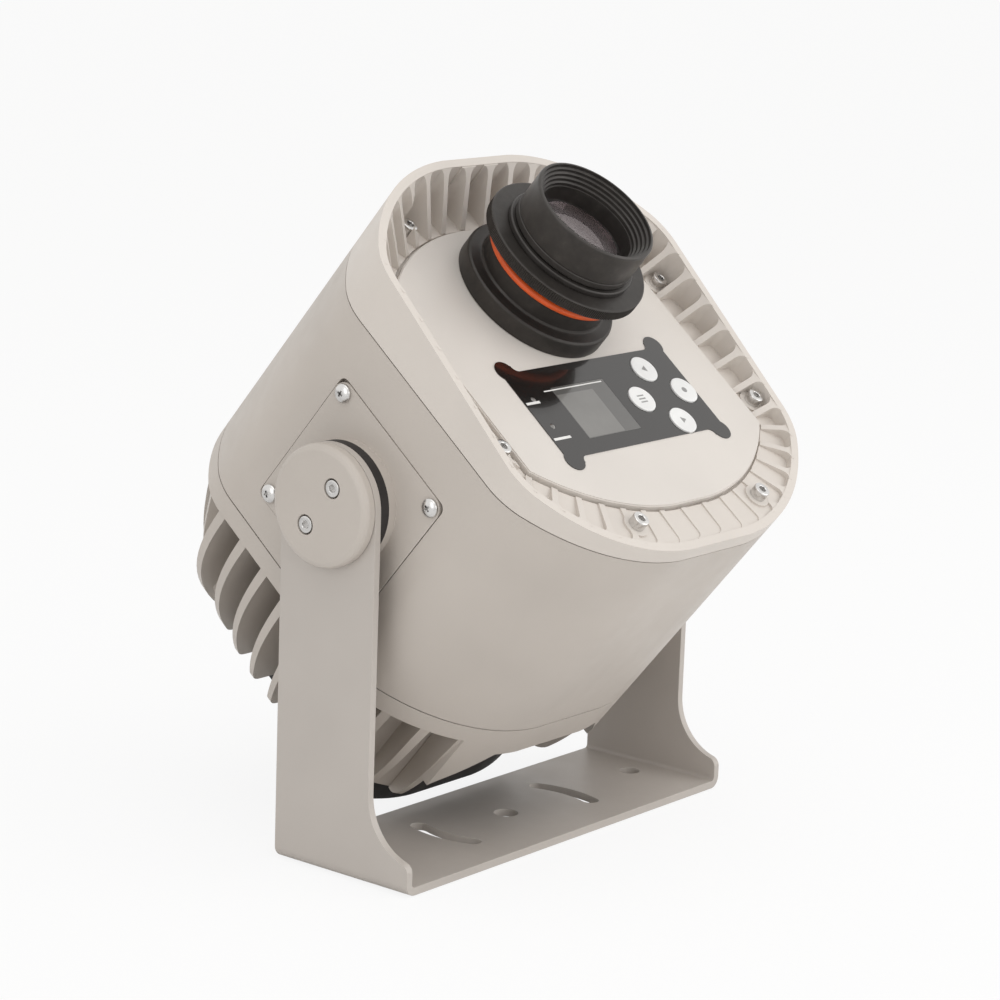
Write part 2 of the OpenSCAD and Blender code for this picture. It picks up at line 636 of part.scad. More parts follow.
module lens_barrel() color([0.17, 0.16, 0.15]) head() {
  step = 3.2;
  rim = barrel_r - 1.8;
  fall = (rim - barrel_bore_r - 3) / 3;
  turned([[barrel_bore_r - 3, tail_z], [tail_r, tail_z], [tail_r, barrel_z], [barrel_r, barrel_z],
          [barrel_r, barrel_top - 1.2], [barrel_r - 0.8, barrel_top], [rim, barrel_top], [rim, barrel_top - step],
          [rim - fall, barrel_top - step], [rim - fall, barrel_top - 2 * step],
          [rim - 2 * fall, barrel_top - 2 * step], [rim - 2 * fall, barrel_top - 3 * step],
          [rim - 3 * fall, barrel_top - 3 * step], [rim - 3 * fall, barrel_top - 6 * step],
          [barrel_bore_r, barrel_top - 6 * step], [barrel_bore_r, tail_z + 3], [barrel_bore_r - 3, tail_z + 3]]);
}

module front_lens() color([0.35, 0.34, 0.42, 0.6]) head() {
  top = barrel_top - 12;
  r = barrel_bore_r + 2.9;
  seat = barrel_top - 19.2;
  intersection() {
    translate([0, lens_v, seat]) cylinder(r = r, h = top - seat, $fn = 96);
    translate([0, lens_v, top - 60]) sphere(60, $fn = 96);
  }
}

module rear_lens() color([0.35, 0.34, 0.42, 0.6]) head() {
  r = barrel_bore_r - 0.1;
  intersection() {
    translate([0, lens_v, tail_z + 3]) cylinder(r = r, h = 7, $fn = 96);
    translate([0, lens_v, tail_z + 10 - 50]) sphere(50, $fn = 96);
  }
}

// Control panel

// Label with a rounded ear at each corner
module label_shape() {
  ear = 6;
  translate([-label_w / 2, label_bottom]) square([label_w, label_h]);
  for (sx = [-1, 1]) {
    translate([sx * (label_w / 2 - 4), label_top + 1.5]) circle(ear);
    translate([sx * (label_w / 2 - 10), label_top]) difference() {
      translate([sx > 0 ? -3 : -4, 0]) square([7, 4]);
      translate([sx * -4, 4]) circle(4);
    }
    translate([sx * (label_w / 2 - 4), label_bottom - 1.5]) circle(ear);
    translate([sx * (label_w / 2 - 10), label_bottom]) difference() {
      translate([sx > 0 ? -3 : -4, -4]) square([7, 4]);
      translate([sx * -4, -4]) circle(4);
    }
  }
}

module control_label() color([0.08, 0.075, 0.07]) head() difference() {
  translate([0, 0, plate_z]) linear_extrude(label_t) label_shape();
  translate([window_c[0] - window_w / 2, window_c[1] - window_h / 2, plate_z - 1]) cube([window_w, window_h, label_t + 2]);
  for (p = buttons) translate([p[0], p[1], plate_z - 1]) cylinder(r = button_r + 0.3, h = label_t + 2);
  for (p = lights) translate([p[0], p[1], plate_z - 1]) cylinder(r = 1.6, h = label_t + 2);
}

module display_window() color([0.6, 0.6, 0.58]) head()
  translate([window_c[0] - window_w / 2 + 0.1, window_c[1] - window_h / 2 + 0.1, plate_z])
    cube([window_w - 0.2, window_h - 0.2, label_t]);

module display_module() color([0.3, 0.35, 0.32]) head()
  translate([window_c[0] - window_w / 2 + 2, window_c[1] - window_h / 2 + 2, board_z + board_t])
    cube([window_w - 4, window_h - 4, plate_z - board_z - board_t]);

module indicator_lights() color([0.45, 0.43, 0.4]) head() for (p = lights)
  translate([p[0], p[1], board_z + board_t]) cylinder(r = 1.5, h = plate_z + label_t - board_z - board_t);

// Push button: cap, stop flange under the plate, stem above its key switch
module push_button(p) color([0.93, 0.93, 0.92]) head() translate([p[0], p[1], 0]) {
  translate([0, 0, seat_z - 1.2]) cylinder(r = button_r, h = plate_z + button_rise - seat_z + 1.2);
  translate([0, 0, seat_z - 1.2]) cylinder(r = button_r + 1, h = 1);
  translate([0, 0, board_z + board_t + 3.5 + button_travel + 0.1])
    cylinder(r = 2, h = seat_z - board_z - board_t - 4 - button_travel);
}

module button_up() push_button(buttons[0]);
module button_enter() push_button(buttons[1]);
module button_menu() push_button(buttons[2]);
module button_down() push_button(buttons[3]);

module control_board() color([0.15, 0.35, 0.2]) head() {
  difference() {
    translate([-60, label_bottom + 1, board_z]) cube([120, label_h - 2, board_t]);
    for (p = board_fix) translate([p[0], p[1], board_z - 1]) cylinder(r = 1.7, h = board_t + 2);
  }
  for (p = buttons) translate([p[0] - 3, p[1] - 3, board_z + board_t - 0.01]) cube([6, 6, 3.51]);
}

module board_screws() color([0.75, 0.75, 0.74]) head() for (p = board_fix)
  translate([p[0], p[1], board_z]) mirror([0, 0, 1]) socket_screw(2.75, 2, 1.5, board_t + 6, 1.3);

// Heat sink

// Outer edge of a fin at a depth below its root
function fin_draw(s, sag) = sag[0] * s + sag[1] * pow(max(s, 0) / (fin_depth + root_z), sag[2]);

// Fin in the plane of its length and depth, from the inner end to the outer end
module fin_plan(r_in, r_out, z_in, z_out, sag) {
  n = 14;
  round_r = 9;
  last = root_z - z_out - round_r;
  edge = [for (i = [0:n]) let (s = last * i / n) [r_out - fin_draw(s, sag), root_z - s]];
  tip = edge[n];
  turn = atan(fin_draw(last + 0.5, sag) - fin_draw(last - 0.5, sag));
  corner = [for (i = [1:5]) let (a = turn + (90 - turn) * i / 5)
            [tip[0] - round_r * (cos(turn) - cos(a)), tip[1] - round_r * (sin(a) - sin(turn))]];
  polygon(concat([[r_in, root_z + 1], [r_out, root_z + 1]], edge, corner,
                 [[r_in, z_in + round_r * sin(turn)]]));
}

// Fin along +X of its own frame, thinner towards the rear
module fin(r_in, r_out, z_in, z_out, sag) intersection() {
  translate([0, fin_root, 0]) rotate([90, 0, 0]) linear_extrude(2 * fin_root) fin_plan(r_in, r_out, z_in, z_out, sag);
  translate([r_in - 1, 0, 0]) rotate([90, 0, 90]) linear_extrude(r_out - r_in + 2)
    polygon([[-fin_root / 2, root_z + 1], [fin_root / 2, root_z + 1], [fin_tip / 2, min(z_in, z_out) - 1],
             [-fin_tip / 2, min(z_in, z_out) - 1]]);
}

// The upper fins draw in sooner than the lower ones
module side_fin(v) translate([0, v, 0])
  fin(52, half_w - 0.4, rear_at(v), rear_at(v), [0, 22.5 + 0.17 * v, 2.4]);

// Radius of the section from a corner centre
function corner_reach(a) =
  let (p = fillet_c - [corner_e, corner_c], b = p[0] * cos(a) + p[1] * sin(a))
  a < fillet_turn ? b + sqrt(b * b - p[0] * p[0] - p[1] * p[1] + side_fillet * side_fillet) : corner_r;

module corner_fin(a, s) {
  v_in = s * (corner_c + 40 * sin(a));
  v_out = s * (corner_c + (corner_r - 22) * sin(a));
  mirror([0, s < 0 ? 1 : 0, 0]) translate([corner_e, corner_c, 0]) rotate([0, 0, a])
    fin(40, corner_reach(a) - (a < fillet_turn ? 1.4 : 0.4), rear_at(v_in), rear_at(v_out),
        s < 0 ? low_corner_sag : corner_sag);
}

// Wall below the cowl, between the two lowest fins, with a slanted rear edge
module skirt() {
  side = corner_e + corner_r * cos(low_fins[3]);
  intersection() {
    section_ring(0, 5, rim_end_z - 60, 61);
    translate([0, -half_h / 2, 0]) rotate([90, 0, 0]) linear_extrude(half_h)
      polygon([[-side, root_z], [side, root_z], [side, rim_end_z - 36], [side - 3, rim_end_z - 32],
               [side - 24, rim_end_z - 9], [24 - side, rim_end_z - 9], [3 - side, rim_end_z - 32],
               [-side, rim_end_z - 36]]);
  }
}

// Curved walls behind the lower corner fins, beside the cowl
module core() intersection() {
  section_ring(19, 22.5, 4 - fin_depth, fin_depth - 4 + root_z + 1);
  mirrored_x() translate([cowl_half_w - 8, -half_h, 4 - fin_depth - 1]) cube([half_w, half_h - 44, fin_depth]);
}

module heat_sink() color([0.73, 0.7, 0.66]) head() {
  pocket_gap = 1.5;
  skirt();
  core();
  difference() {
    union() {
      translate([0, 0, root_z]) linear_extrude(sink_base_t) section(0);
      section_ring(0, 5, rim_end_z, sink_rim_h + 1);
      mirrored_x() {
        for (k = [-3:2]) side_fin(fin_shift + (k + 0.5) * fin_pitch);
        for (a = low_fins) corner_fin(a, -1);
        for (a = high_fins) corner_fin(a, 1);
      }
    }
    translate([10 - cowl_half_w, -half_h - 1, root_z - 200]) cube([2 * cowl_half_w - 20, half_h, 200 - sink_rim_h]);
    translate([-cowl_half_w - pocket_gap, -cowl_low - pocket_gap, root_z - 200])
      cube([2 * (cowl_half_w + pocket_gap), cowl_low + cowl_high + 2 * pocket_gap, 200]);
    translate([-26, cowl_high, root_z - 200]) cube([52, 60, 200]);
    for (p = rear_screws) mirrored_x() translate([p[0], p[1], root_z - 1]) {
      cylinder(r = 2.75, h = sink_base_t + 2);
      translate([0, 0, -199]) cylinder(r = 5, h = 200);
    }
    translate([0, gland_v, root_z - 1]) cylinder(r = 8 + slip, h = sink_base_t + 2);
    translate([0, vent_v, root_z - 1]) cylinder(r = 6 + slip, h = sink_base_t + 2);
    for (p = posts) translate([p[0], p[1], sink_z - 5]) cylinder(r = bore_m5 + slip, h = 6);
    for (p = condenser_fix) translate([p[0], p[1], sink_z - 5]) cylinder(r = 1.5 + slip, h = 6);
    for (p = cowl_fix) translate([p[0], p[1], root_z - 1]) cylinder(r = 1.5 + slip, h = 5);
  }
}

module heat_sink_screws() color([0.75, 0.75, 0.74]) head() for (p = rear_screws) mirrored_x()
  translate([p[0], p[1], root_z]) mirror([0, 0, 1]) socket_screw(head_m5, 5, bore_m5, sink_base_t + gasket_t + 10, 2.3);

// Cowl, fan, gland and vent

gland_v = cowl_high + 42;
vent_v = cowl_high + 16;
cowl_fix = [[cowl_half_w - 7, cowl_high - 7], [7 - cowl_half_w, cowl_high - 7],
            [cowl_half_w - 7, 14 - cowl_low], [7 - cowl_half_w, 14 - cowl_low]];

// Cowl outline: straight sides and top, lower edge bowed like the body's
module cowl_shape(inset) intersection() {
  translate([-cowl_half_w + inset, -cowl_low + inset])
    square([2 * (cowl_half_w - inset), cowl_low + cowl_high - 2 * inset]);
  union() {
    translate([-corner_e, -cowl_low + inset]) square([2 * corner_e, cowl_low + cowl_high]);
    for (s = [-1, 1]) translate([s * corner_e, corner_r - cowl_low]) circle(corner_r - inset, $fn = 96);
  }
}

module cowl() color([0.1, 0.1, 0.1]) head() {
  depth = cowl_seat + cowl_depth;
  difference() {
    translate([0, 0, -cowl_depth]) linear_extrude(depth) cowl_shape(0);
    difference() {
      translate([0, 0, -cowl_depth + cowl_wall]) linear_extrude(depth) cowl_shape(cowl_wall);
      for (p = cowl_fix) translate([p[0], p[1], cowl_seat - 5]) cylinder(r = 5, h = 6);
    }
    translate([0, fan_v, -cowl_depth - 1]) cylinder(r = fan_bore, h = cowl_wall + 2, $fn = 96);
    for (sx = [-1, 1], sy = [-1, 1]) translate([sx * fan_fix, fan_v + sy * fan_fix, -cowl_depth - 1])
      cylinder(r = 2.2, h = cowl_wall + 2);
    for (k = [0:3]) translate([-cowl_half_w - 1, fin_gap_v(k - 3) - 6, cowl_seat - 44])
      cube([2 * cowl_half_w + 2, 12, 36]);
    for (p = cowl_fix) translate([p[0], p[1], cowl_seat - 6]) cylinder(r = 1.7, h = 8);
  }
}

module fan_frame() color([0.13, 0.13, 0.13]) head() translate([0, fan_v, 0]) {
  difference() {
    translate([0, 0, fan_rear]) linear_extrude(fan_t) rounded_square(fan_s, 5);
    translate([0, 0, fan_rear - 1]) cylinder(r = fan_bore, h = fan_t + 2, $fn = 96);
    for (sx = [-1, 1], sy = [-1, 1]) translate([sx * fan_fix, sy * fan_fix, fan_rear - 1]) cylinder(r = 2.2, h = fan_t + 2);
  }
  difference() {
    union() {
      translate([0, 0, fan_front - 3]) cylinder(r = 18, h = 3);
      for (a = [45, 135]) rotate([0, 0, a]) translate([-fan_bore - 1, -2.5, fan_front - 3])
        cube([2 * fan_bore + 2, 5, 3]);
    }
    translate([0, 0, fan_front - 4]) cylinder(r = 2.5 + slip, h = 5);
  }
}

module fan_rotor() color([0.16, 0.16, 0.16]) head() translate([0, fan_v, 0]) {
  hub_h = fan_t - 7;
  hub_z = fan_rear + 2.5;
  translate([0, 0, hub_z]) cylinder(r = 18, h = hub_h);
  translate([0, 0, hub_z]) cylinder(r = 2.5, h = fan_front - 0.5 - hub_z);
  intersection() {
    translate([0, 0, hub_z]) cylinder(r = fan_bore - 1.2, h = hub_h, $fn = 96);
    for (k = [0:blades - 1]) rotate([0, 0, k * 360 / blades]) translate([16, 0, hub_z + hub_h / 2])
      rotate([48, 0, 0]) translate([0, -12, -0.8]) cube([fan_bore, 24, 1.6]);
  }
}

module fan_guard() color([0.12, 0.12, 0.12]) head() translate([0, fan_v, 0]) {
  z = -cowl_depth - guard_wire;
  for (r = [12, 22, 32, fan_bore]) translate([0, 0, z]) rotate_extrude($fn = 96) translate([r, 0])
    circle(guard_wire, $fn = 16);
  for (a = [45, 135]) rotate([0, 0, a]) translate([-fan_fix * sqrt(2) + 3.5, -guard_wire, z - guard_wire * 0.8])
    cube([2 * fan_fix * sqrt(2) - 7, 2 * guard_wire, 1.6 * guard_wire]);
  for (sx = [-1, 1], sy = [-1, 1]) translate([sx * fan_fix, sy * fan_fix, z - guard_wire]) difference() {
    cylinder(r = 4.6, h = 2 * guard_wire);
    translate([0, 0, -1]) cylinder(r = 2.1, h = 4);
  }
}

module fan_screws() color([0.75, 0.75, 0.74]) head() translate([0, fan_v, 0])
  for (sx = [-1, 1], sy = [-1, 1]) translate([sx * fan_fix, sy * fan_fix, -cowl_depth - 2 * guard_wire])
    mirror([0, 0, 1]) pan_screw(3.6, 2.2, 2, cowl_wall + 2 * guard_wire + fan_t + 3);

module cable_gland() color([0.14, 0.14, 0.14]) head() translate([0, gland_v, root_z]) mirror([0, 0, 1]) difference() {
  union() {
    cylinder(r = 12.5, h = 5, $fn = 6);
    cylinder(r = 8, h = 12);
    translate([0, 0, 5]) cylinder(r = 9, h = 4);
    translate([0, 0, 8]) cylinder(r = 12, h = 10, $fn = 6);
    translate([0, 0, 18]) cylinder(r1 = 10.4, r2 = 7.5, h = 5, $fn = 48);
    translate([0, 0, -sink_base_t]) cylinder(r = 8, h = sink_base_t + 1);
  }
  translate([0, 0, -sink_base_t - 1]) cylinder(r = 4, h = 40);
}

module pressure_vent() color([0.16, 0.16, 0.16]) head() translate([0, vent_v, root_z]) mirror([0, 0, 1]) {
  cylinder(r = 8.5, h = 4, $fn = 6);
  cylinder(r = 7, h = 6.5);
  translate([0, 0, -sink_base_t]) cylinder(r = 6, h = sink_base_t + 1);
}

// Light path inside the head

condenser_fix = [for (k = [0:2]) [33.5 * cos(90 + 120 * k), lens_v + 33.5 * sin(90 + 120 * k)]];

module optics_plate() color([0.6, 0.6, 0.6]) head() difference() {
  translate([-58, wheel_v - 28, optics_z]) cube([116, wheel_drop + 70, optics_t]);
  translate([0, lens_v, optics_z - 1]) cylinder(r = condenser_r + 0.3, h = optics_t + 2, $fn = 96);
  translate([0, wheel_v, optics_z - 1]) cylinder(r = 11.2, h = optics_t + 2);
  for (p = posts) translate([p[0], p[1], optics_z - 1]) cylinder(r = 1.7, h = optics_t + 2);
  for (p = motor_fix) translate([p[0], p[1], optics_z - 1]) cylinder(r = 1.4, h = optics_t + 2);
}

module optics_posts() color([0.7, 0.7, 0.68]) head() for (p = posts) translate([p[0], p[1], 0]) difference() {
  union() {
    translate([0, 0, sink_z]) cylinder(r = 4, h = optics_z - sink_z);
    translate([0, 0, sink_z - 4.5]) cylinder(r = bore_m5, h = 5);
  }
  translate([0, 0, optics_z - 8]) cylinder(r = 1.5 + slip, h = 9);
}

module optics_screws() color([0.75, 0.75, 0.74]) head() for (p = posts)
  translate([p[0], p[1], optics_z + optics_t]) socket_screw(2.75, 2, 1.5, optics_t + 6, 1.3);

module light_board() color([0.85, 0.85, 0.82]) head() translate([0, lens_v, sink_z]) cylinder(r = 21, h = 2);

module light_emitter() color([0.95, 0.85, 0.4]) head() {
  translate([-8, lens_v - 8, sink_z + 2]) cube([16, 16, 1.5]);
  translate([0, lens_v, sink_z + 3.5]) cylinder(r = 6, h = 0.8);
}

module condenser_tube() color([0.3, 0.3, 0.3]) head() difference() {
  union() {
    turned([[condenser_r - 3, sink_z], [condenser_r, sink_z], [condenser_r, optics_z + optics_t], [condenser_r - 3, optics_z + optics_t]]);
    turned([[condenser_r - 6, sink_z + 14], [condenser_r - 1, sink_z + 14], [condenser_r - 1, sink_z + 16], [condenser_r - 6, sink_z + 16]]);
    turned([[condenser_r - 6, sink_z + 36], [condenser_r - 1, sink_z + 36], [condenser_r - 1, sink_z + 38], [condenser_r - 6, sink_z + 38]]);
    turned([[condenser_r - 3, sink_z], [condenser_r + 7.5, sink_z], [condenser_r + 7.5, sink_z + 3], [condenser_r - 3, sink_z + 3]]);
  }
  for (p = condenser_fix) translate([p[0], p[1], sink_z - 1]) cylinder(r = 1.7, h = 5);
}

module condenser_lens(z) intersection() {
  translate([0, lens_v, z]) cylinder(r = condenser_r - 3.1, h = 10, $fn = 96);
  translate([0, lens_v, z + 10 - 45]) sphere(45, $fn = 96);
}

module condenser_lenses() color([0.8, 0.85, 0.9, 0.5]) head() {
  condenser_lens(sink_z + 16);
  condenser_lens(sink_z + 38);
}

// Gobo wheel with its shaft, which turns in the motor
module gobo_wheel() color([0.5, 0.5, 0.52]) head() translate([0, wheel_v, 0]) difference() {
  union() {
    translate([0, 0, wheel_z]) cylinder(r = wheel_r, h = wheel_t, $fn = 96);
    translate([0, 0, wheel_z - 4]) cylinder(r = 8, h = wheel_t + 7);
    translate([0, 0, optics_z - motor_l + 4]) cylinder(r = 2.5, h = motor_l + 6);
  }
  for (k = [0:gobos - 1]) rotate([0, 0, 90 + k * 360 / gobos]) translate([wheel_drop, 0, 0]) {
    translate([0, 0, wheel_z - 1]) cylinder(r = gobo_d / 2 - 2.2, h = wheel_t + 2);
    translate([0, 0, wheel_z + 1.2]) cylinder(r = gobo_d / 2 + 0.1, h = wheel_t);
  }
}

module gobo_glasses() color([0.55, 0.6, 0.65, 0.6]) head() translate([0, wheel_v, 0])
  for (k = [0:gobos - 1]) rotate([0, 0, 90 + k * 360 / gobos]) translate([wheel_drop, 0, wheel_z + 1.2])
    cylinder(d = gobo_d, h = 1.1);

module gobo_clips() color([0.75, 0.75, 0.74]) head() translate([0, wheel_v, 0])
  for (k = [0:gobos - 1]) rotate([0, 0, 90 + k * 360 / gobos]) translate([wheel_drop, 0, wheel_z + 2.3]) difference() {
    cylinder(d = gobo_d, h = 0.7);
    translate([0, 0, -1]) cylinder(d = gobo_d - 3, h = 3);
  }

motor_fix = [for (sx = [-1, 1], sy = [-1, 1]) [sx * 11.5, wheel_v + sy * 11.5]];

module wheel_motor() color([0.35, 0.35, 0.36]) head() difference() {
  union() {
    translate([-motor_s / 2, wheel_v - motor_s / 2, optics_z - motor_l]) cube([motor_s, motor_s, motor_l]);
    translate([0, wheel_v, optics_z - 1]) cylinder(r = 11, h = 2.5);
  }
  translate([0, wheel_v, optics_z - motor_l + 3]) cylinder(r = 2.5 + slip, h = motor_l + 2);
  for (p = motor_fix) translate([p[0], p[1], optics_z - 5]) cylinder(r = 1.25 + slip, h = 6);
}

module motor_screws() color([0.75, 0.75, 0.74]) head() for (p = motor_fix)
  translate([p[0], p[1], optics_z + optics_t]) socket_screw(2.25, 1.8, 1.25, optics_t + 4.4, 1.1);

module power_supply() color([0.78, 0.78, 0.76]) head()
  translate([-psu[0] / 2, psu_v, psu_z]) cube(psu);

yoke_bracket();
side_plate_left();
side_plate_right();
friction_washers();
cap_left();
cap_right();
cap_screws();
side_plate_screws();
body_shell();
front_gasket();
rear_gasket();
front_bezel();
bezel_screws();
front_plate();
front_plate_screws();
lens_base();
lens_base_screws();
o_ring();
focus_ring();
split_collar();
lens_barrel();
front_lens();
rear_lens();
control_label();
display_window();
display_module();
indicator_lights();
button_up();
button_enter();
button_menu();
button_down();
control_board();
board_screws();
heat_sink();
heat_sink_screws();
cowl();
fan_frame();
fan_rotor();
fan_guard();
fan_screws();
cable_gland();
pressure_vent();
optics_plate();
optics_posts();
optics_screws();
light_board();
light_emitter();
condenser_tube();
condenser_lenses();
gobo_wheel();
gobo_glasses();
gobo_clips();
wheel_motor();
motor_screws();
power_supply();
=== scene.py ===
"""Looks of the gobo projector: finishes, detailed pieces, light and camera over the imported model."""
import bpy
import bmesh
import json
import math
from mathutils import Matrix, Vector

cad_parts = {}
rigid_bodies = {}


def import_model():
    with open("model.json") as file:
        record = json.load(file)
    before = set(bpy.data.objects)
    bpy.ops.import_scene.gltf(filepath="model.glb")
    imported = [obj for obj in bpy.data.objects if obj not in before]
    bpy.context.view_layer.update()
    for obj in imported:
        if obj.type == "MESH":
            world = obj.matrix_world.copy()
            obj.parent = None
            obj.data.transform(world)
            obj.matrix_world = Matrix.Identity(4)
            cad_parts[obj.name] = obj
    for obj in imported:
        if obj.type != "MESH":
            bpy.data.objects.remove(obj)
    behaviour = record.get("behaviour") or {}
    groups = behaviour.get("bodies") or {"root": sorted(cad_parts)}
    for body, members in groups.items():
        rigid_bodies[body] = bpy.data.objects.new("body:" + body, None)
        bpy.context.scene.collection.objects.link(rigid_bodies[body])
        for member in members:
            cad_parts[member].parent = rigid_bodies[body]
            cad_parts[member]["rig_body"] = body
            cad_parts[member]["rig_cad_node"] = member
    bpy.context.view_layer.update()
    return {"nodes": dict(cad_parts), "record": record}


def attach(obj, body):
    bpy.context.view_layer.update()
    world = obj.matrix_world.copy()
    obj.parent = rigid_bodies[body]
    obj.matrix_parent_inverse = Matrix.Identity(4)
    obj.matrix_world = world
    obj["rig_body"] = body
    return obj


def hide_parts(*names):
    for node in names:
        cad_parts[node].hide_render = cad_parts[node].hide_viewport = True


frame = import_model()
nodes = frame["nodes"]
bpy.ops.object.select_all(action="DESELECT")

MM = 0.001
ELEVATION = 50.4                       # of the lens axis at rest, degrees
LEAN = math.radians(90 - ELEVATION)
PIVOT = (0, 0.013, 0.182)

# The head's own frame, in millimetres: x across, v up the front plate, z along the lens axis
HEAD = Matrix.Translation(PIVOT) @ Matrix.Rotation(LEAN, 4, "X")
LENS_V = 44.3
PLATE_Z = 80.1
LABEL_Z = 80.5
BEZEL_SCREW_Z = 78.65
SIDE_FACE_X = 112.4
CAP_FACE_X = 129.9
SINK_FACE_Z = -66
GUARD_Z = -154.8
FAN_V = -25.25
FAN_FIX = 41.25
SIDE_FIX = 36.4


# Finishes

def link(tree, a, b):
    tree.links.new(a, b)


def finish(name, colour, rough, metal=0.0):
    """Starts a material: returns it with its node tree and its shader."""
    mat = bpy.data.materials.new(name)
    mat.use_nodes = True
    shader = mat.node_tree.nodes["Principled BSDF"]
    shader.inputs["Base Color"].default_value = (*colour, 1)
    shader.inputs["Roughness"].default_value = rough
    shader.inputs["Metallic"].default_value = metal
    return mat, mat.node_tree, shader


def coords(tree, head=False):
    """Object coordinates, or those turned and centred on the lens axis."""
    where = tree.nodes.new("ShaderNodeTexCoord").outputs["Object"]
    if not head:
        return where
    turn = tree.nodes.new("ShaderNodeMapping")
    turn.vector_type = "TEXTURE"
    turn.inputs["Location"].default_value = tuple(HEAD @ Vector((0, LENS_V * MM, 0)))
    turn.inputs["Rotation"].default_value = (LEAN, 0, 0)
    link(tree, where, turn.inputs["Vector"])
    return turn.outputs["Vector"]


def noise(tree, where, scale, detail=3.0, rough=0.5):
    n = tree.nodes.new("ShaderNodeTexNoise")
    n.inputs["Scale"].default_value = scale
    n.inputs["Detail"].default_value = detail
    n.inputs["Roughness"].default_value = rough
    link(tree, where, n.inputs["Vector"])
    return n.outputs["Fac"]


def spread(tree, value, low, high, a=0.3, b=0.7):
    """Stretches a value from a..b to low..high."""
    m = tree.nodes.new("ShaderNodeMapRange")
    m.inputs["From Min"].default_value = a
    m.inputs["From Max"].default_value = b
    m.inputs["To Min"].default_value = low
    m.inputs["To Max"].default_value = high
    link(tree, value, m.inputs["Value"])
    return m.outputs["Result"]


def shades(tree, value, colours, at=None):
    """Colour ramp, evenly spaced over the middle of the noise unless places are given."""
    node = tree.nodes.new("ShaderNodeValToRGB")
    ramp = node.color_ramp
    at = at or [0.3 + 0.4 * i / (len(colours) - 1) for i in range(len(colours))]
    while len(ramp.elements) < len(colours):
        ramp.elements.new(0.5)
    for element, place, colour in zip(ramp.elements, at, colours):
        element.position = place
        element.color = (*colour, 1)
    link(tree, value, node.inputs["Fac"])
    return node.outputs["Color"]


def relief(tree, shader, height, strength, distance):
    """Bump from a height, of the given depth in metres."""
    bump = tree.nodes.new("ShaderNodeBump")
    bump.inputs["Strength"].default_value = strength
    bump.inputs["Distance"].default_value = distance
    link(tree, height, bump.inputs["Height"])
    link(tree, bump.outputs["Normal"], shader.inputs["Normal"])


def uneven(tree, shader, where, scale, low, high, detail=3.0):
    """Roughness that drifts between two values."""
    patches = spread(tree, noise(tree, where, scale, detail), low, high)
    link(tree, patches, shader.inputs["Roughness"])


def toned(tree, shader, where, scale, colours, at=None, detail=3.0, rough=0.5):
    """Base colour that drifts between the given colours."""
    drift = noise(tree, where, scale, detail, rough)
    link(tree, shades(tree, drift, colours, at), shader.inputs["Base Color"])


def times(colour, factor, lift=0.0):
    return tuple(min(1, c * factor + lift) for c in colour)


def powder_coat(name, colour, rough, grain, depth):
    """Powder coat: fine orange peel and a slow drift of tone."""
    mat, tree, shader = finish(name, colour, rough)
    where = coords(tree)
    toned(tree, shader, where, 14, [times(colour, 0.955), colour, times(colour, 1.03)], detail=2)
    peel = noise(tree, where, grain, 4, 0.6)
    uneven(tree, shader, where, 90, rough - 0.05, rough + 0.07)
    relief(tree, shader, peel, 0.32, depth)
    shader.inputs["Coat Weight"].default_value = 0.06
    shader.inputs["Coat Roughness"].default_value = 0.35
    return mat


def turned_black(name, colour, rough, rings):
    """Black anodising over turned metal: fine concentric tool marks and pale dust."""
    mat, tree, shader = finish(name, colour, rough, 0.35)
    where = coords(tree, head=True)
    wave = tree.nodes.new("ShaderNodeTexWave")
    wave.wave_type = "RINGS"
    wave.rings_direction = "Z"
    wave.inputs["Scale"].default_value = rings
    wave.inputs["Distortion"].default_value = 0.6
    link(tree, where, wave.inputs["Vector"])
    toned(tree, shader, coords(tree), 160, [colour, times(colour, 1.25), times(colour, 1.9, 0.008)],
          at=[0.4, 0.62, 0.86], detail=5, rough=0.6)
    uneven(tree, shader, coords(tree), 60, rough - 0.06, rough + 0.1)
    relief(tree, shader, wave.outputs["Fac"], 0.12, 0.00005)
    return mat


def bright_steel(name, colour, rough):
    """Bright steel with fine scratches."""
    mat, tree, shader = finish(name, colour, rough, 1.0)
    where = coords(tree)
    scratch = noise(tree, where, 2600, 2, 0.7)
    toned(tree, shader, where, 300, [times(colour, 0.86), colour])
    link(tree, spread(tree, scratch, rough - 0.06, rough + 0.08), shader.inputs["Roughness"])
    relief(tree, shader, scratch, 0.08, 0.00004)
    return mat


def rubber(name, colour, rough, grain=1500):
    """Rubber with a faint bloom and a fine grain."""
    mat, tree, shader = finish(name, colour, rough)
    where = coords(tree)
    toned(tree, shader, where, 70, [times(colour, 0.88), colour, times(colour, 1.1, 0.004)], detail=4)
    relief(tree, shader, noise(tree, where, grain, 3), 0.25, 0.00006)
    return mat


def gloss(name, colour, rough, coat=0.6):
    """Gloss film or plastic: faint unevenness and a clear coat."""
    mat, tree, shader = finish(name, colour, rough)
    where = coords(tree)
    shader.inputs["Coat Weight"].default_value = coat
    shader.inputs["Coat Roughness"].default_value = 0.03
    toned(tree, shader, where, 40, [times(colour, 0.9), times(colour, 1.1)])
    uneven(tree, shader, where, 220, rough, rough + 0.05, detail=4)
    relief(tree, shader, noise(tree, where, 260, 2), 0.04, 0.00003)
    return mat


def moulded(name, colour, rough, grain=2200):
    """Moulded plastic with a fine spark-eroded grain."""
    mat, tree, shader = finish(name, colour, rough)
    where = coords(tree)
    toned(tree, shader, where, 50, [times(colour, 0.93), times(colour, 1.05)])
    uneven(tree, shader, where, 130, rough - 0.04, rough + 0.06)
    relief(tree, shader, noise(tree, where, grain, 3), 0.18, 0.00006)
    return mat


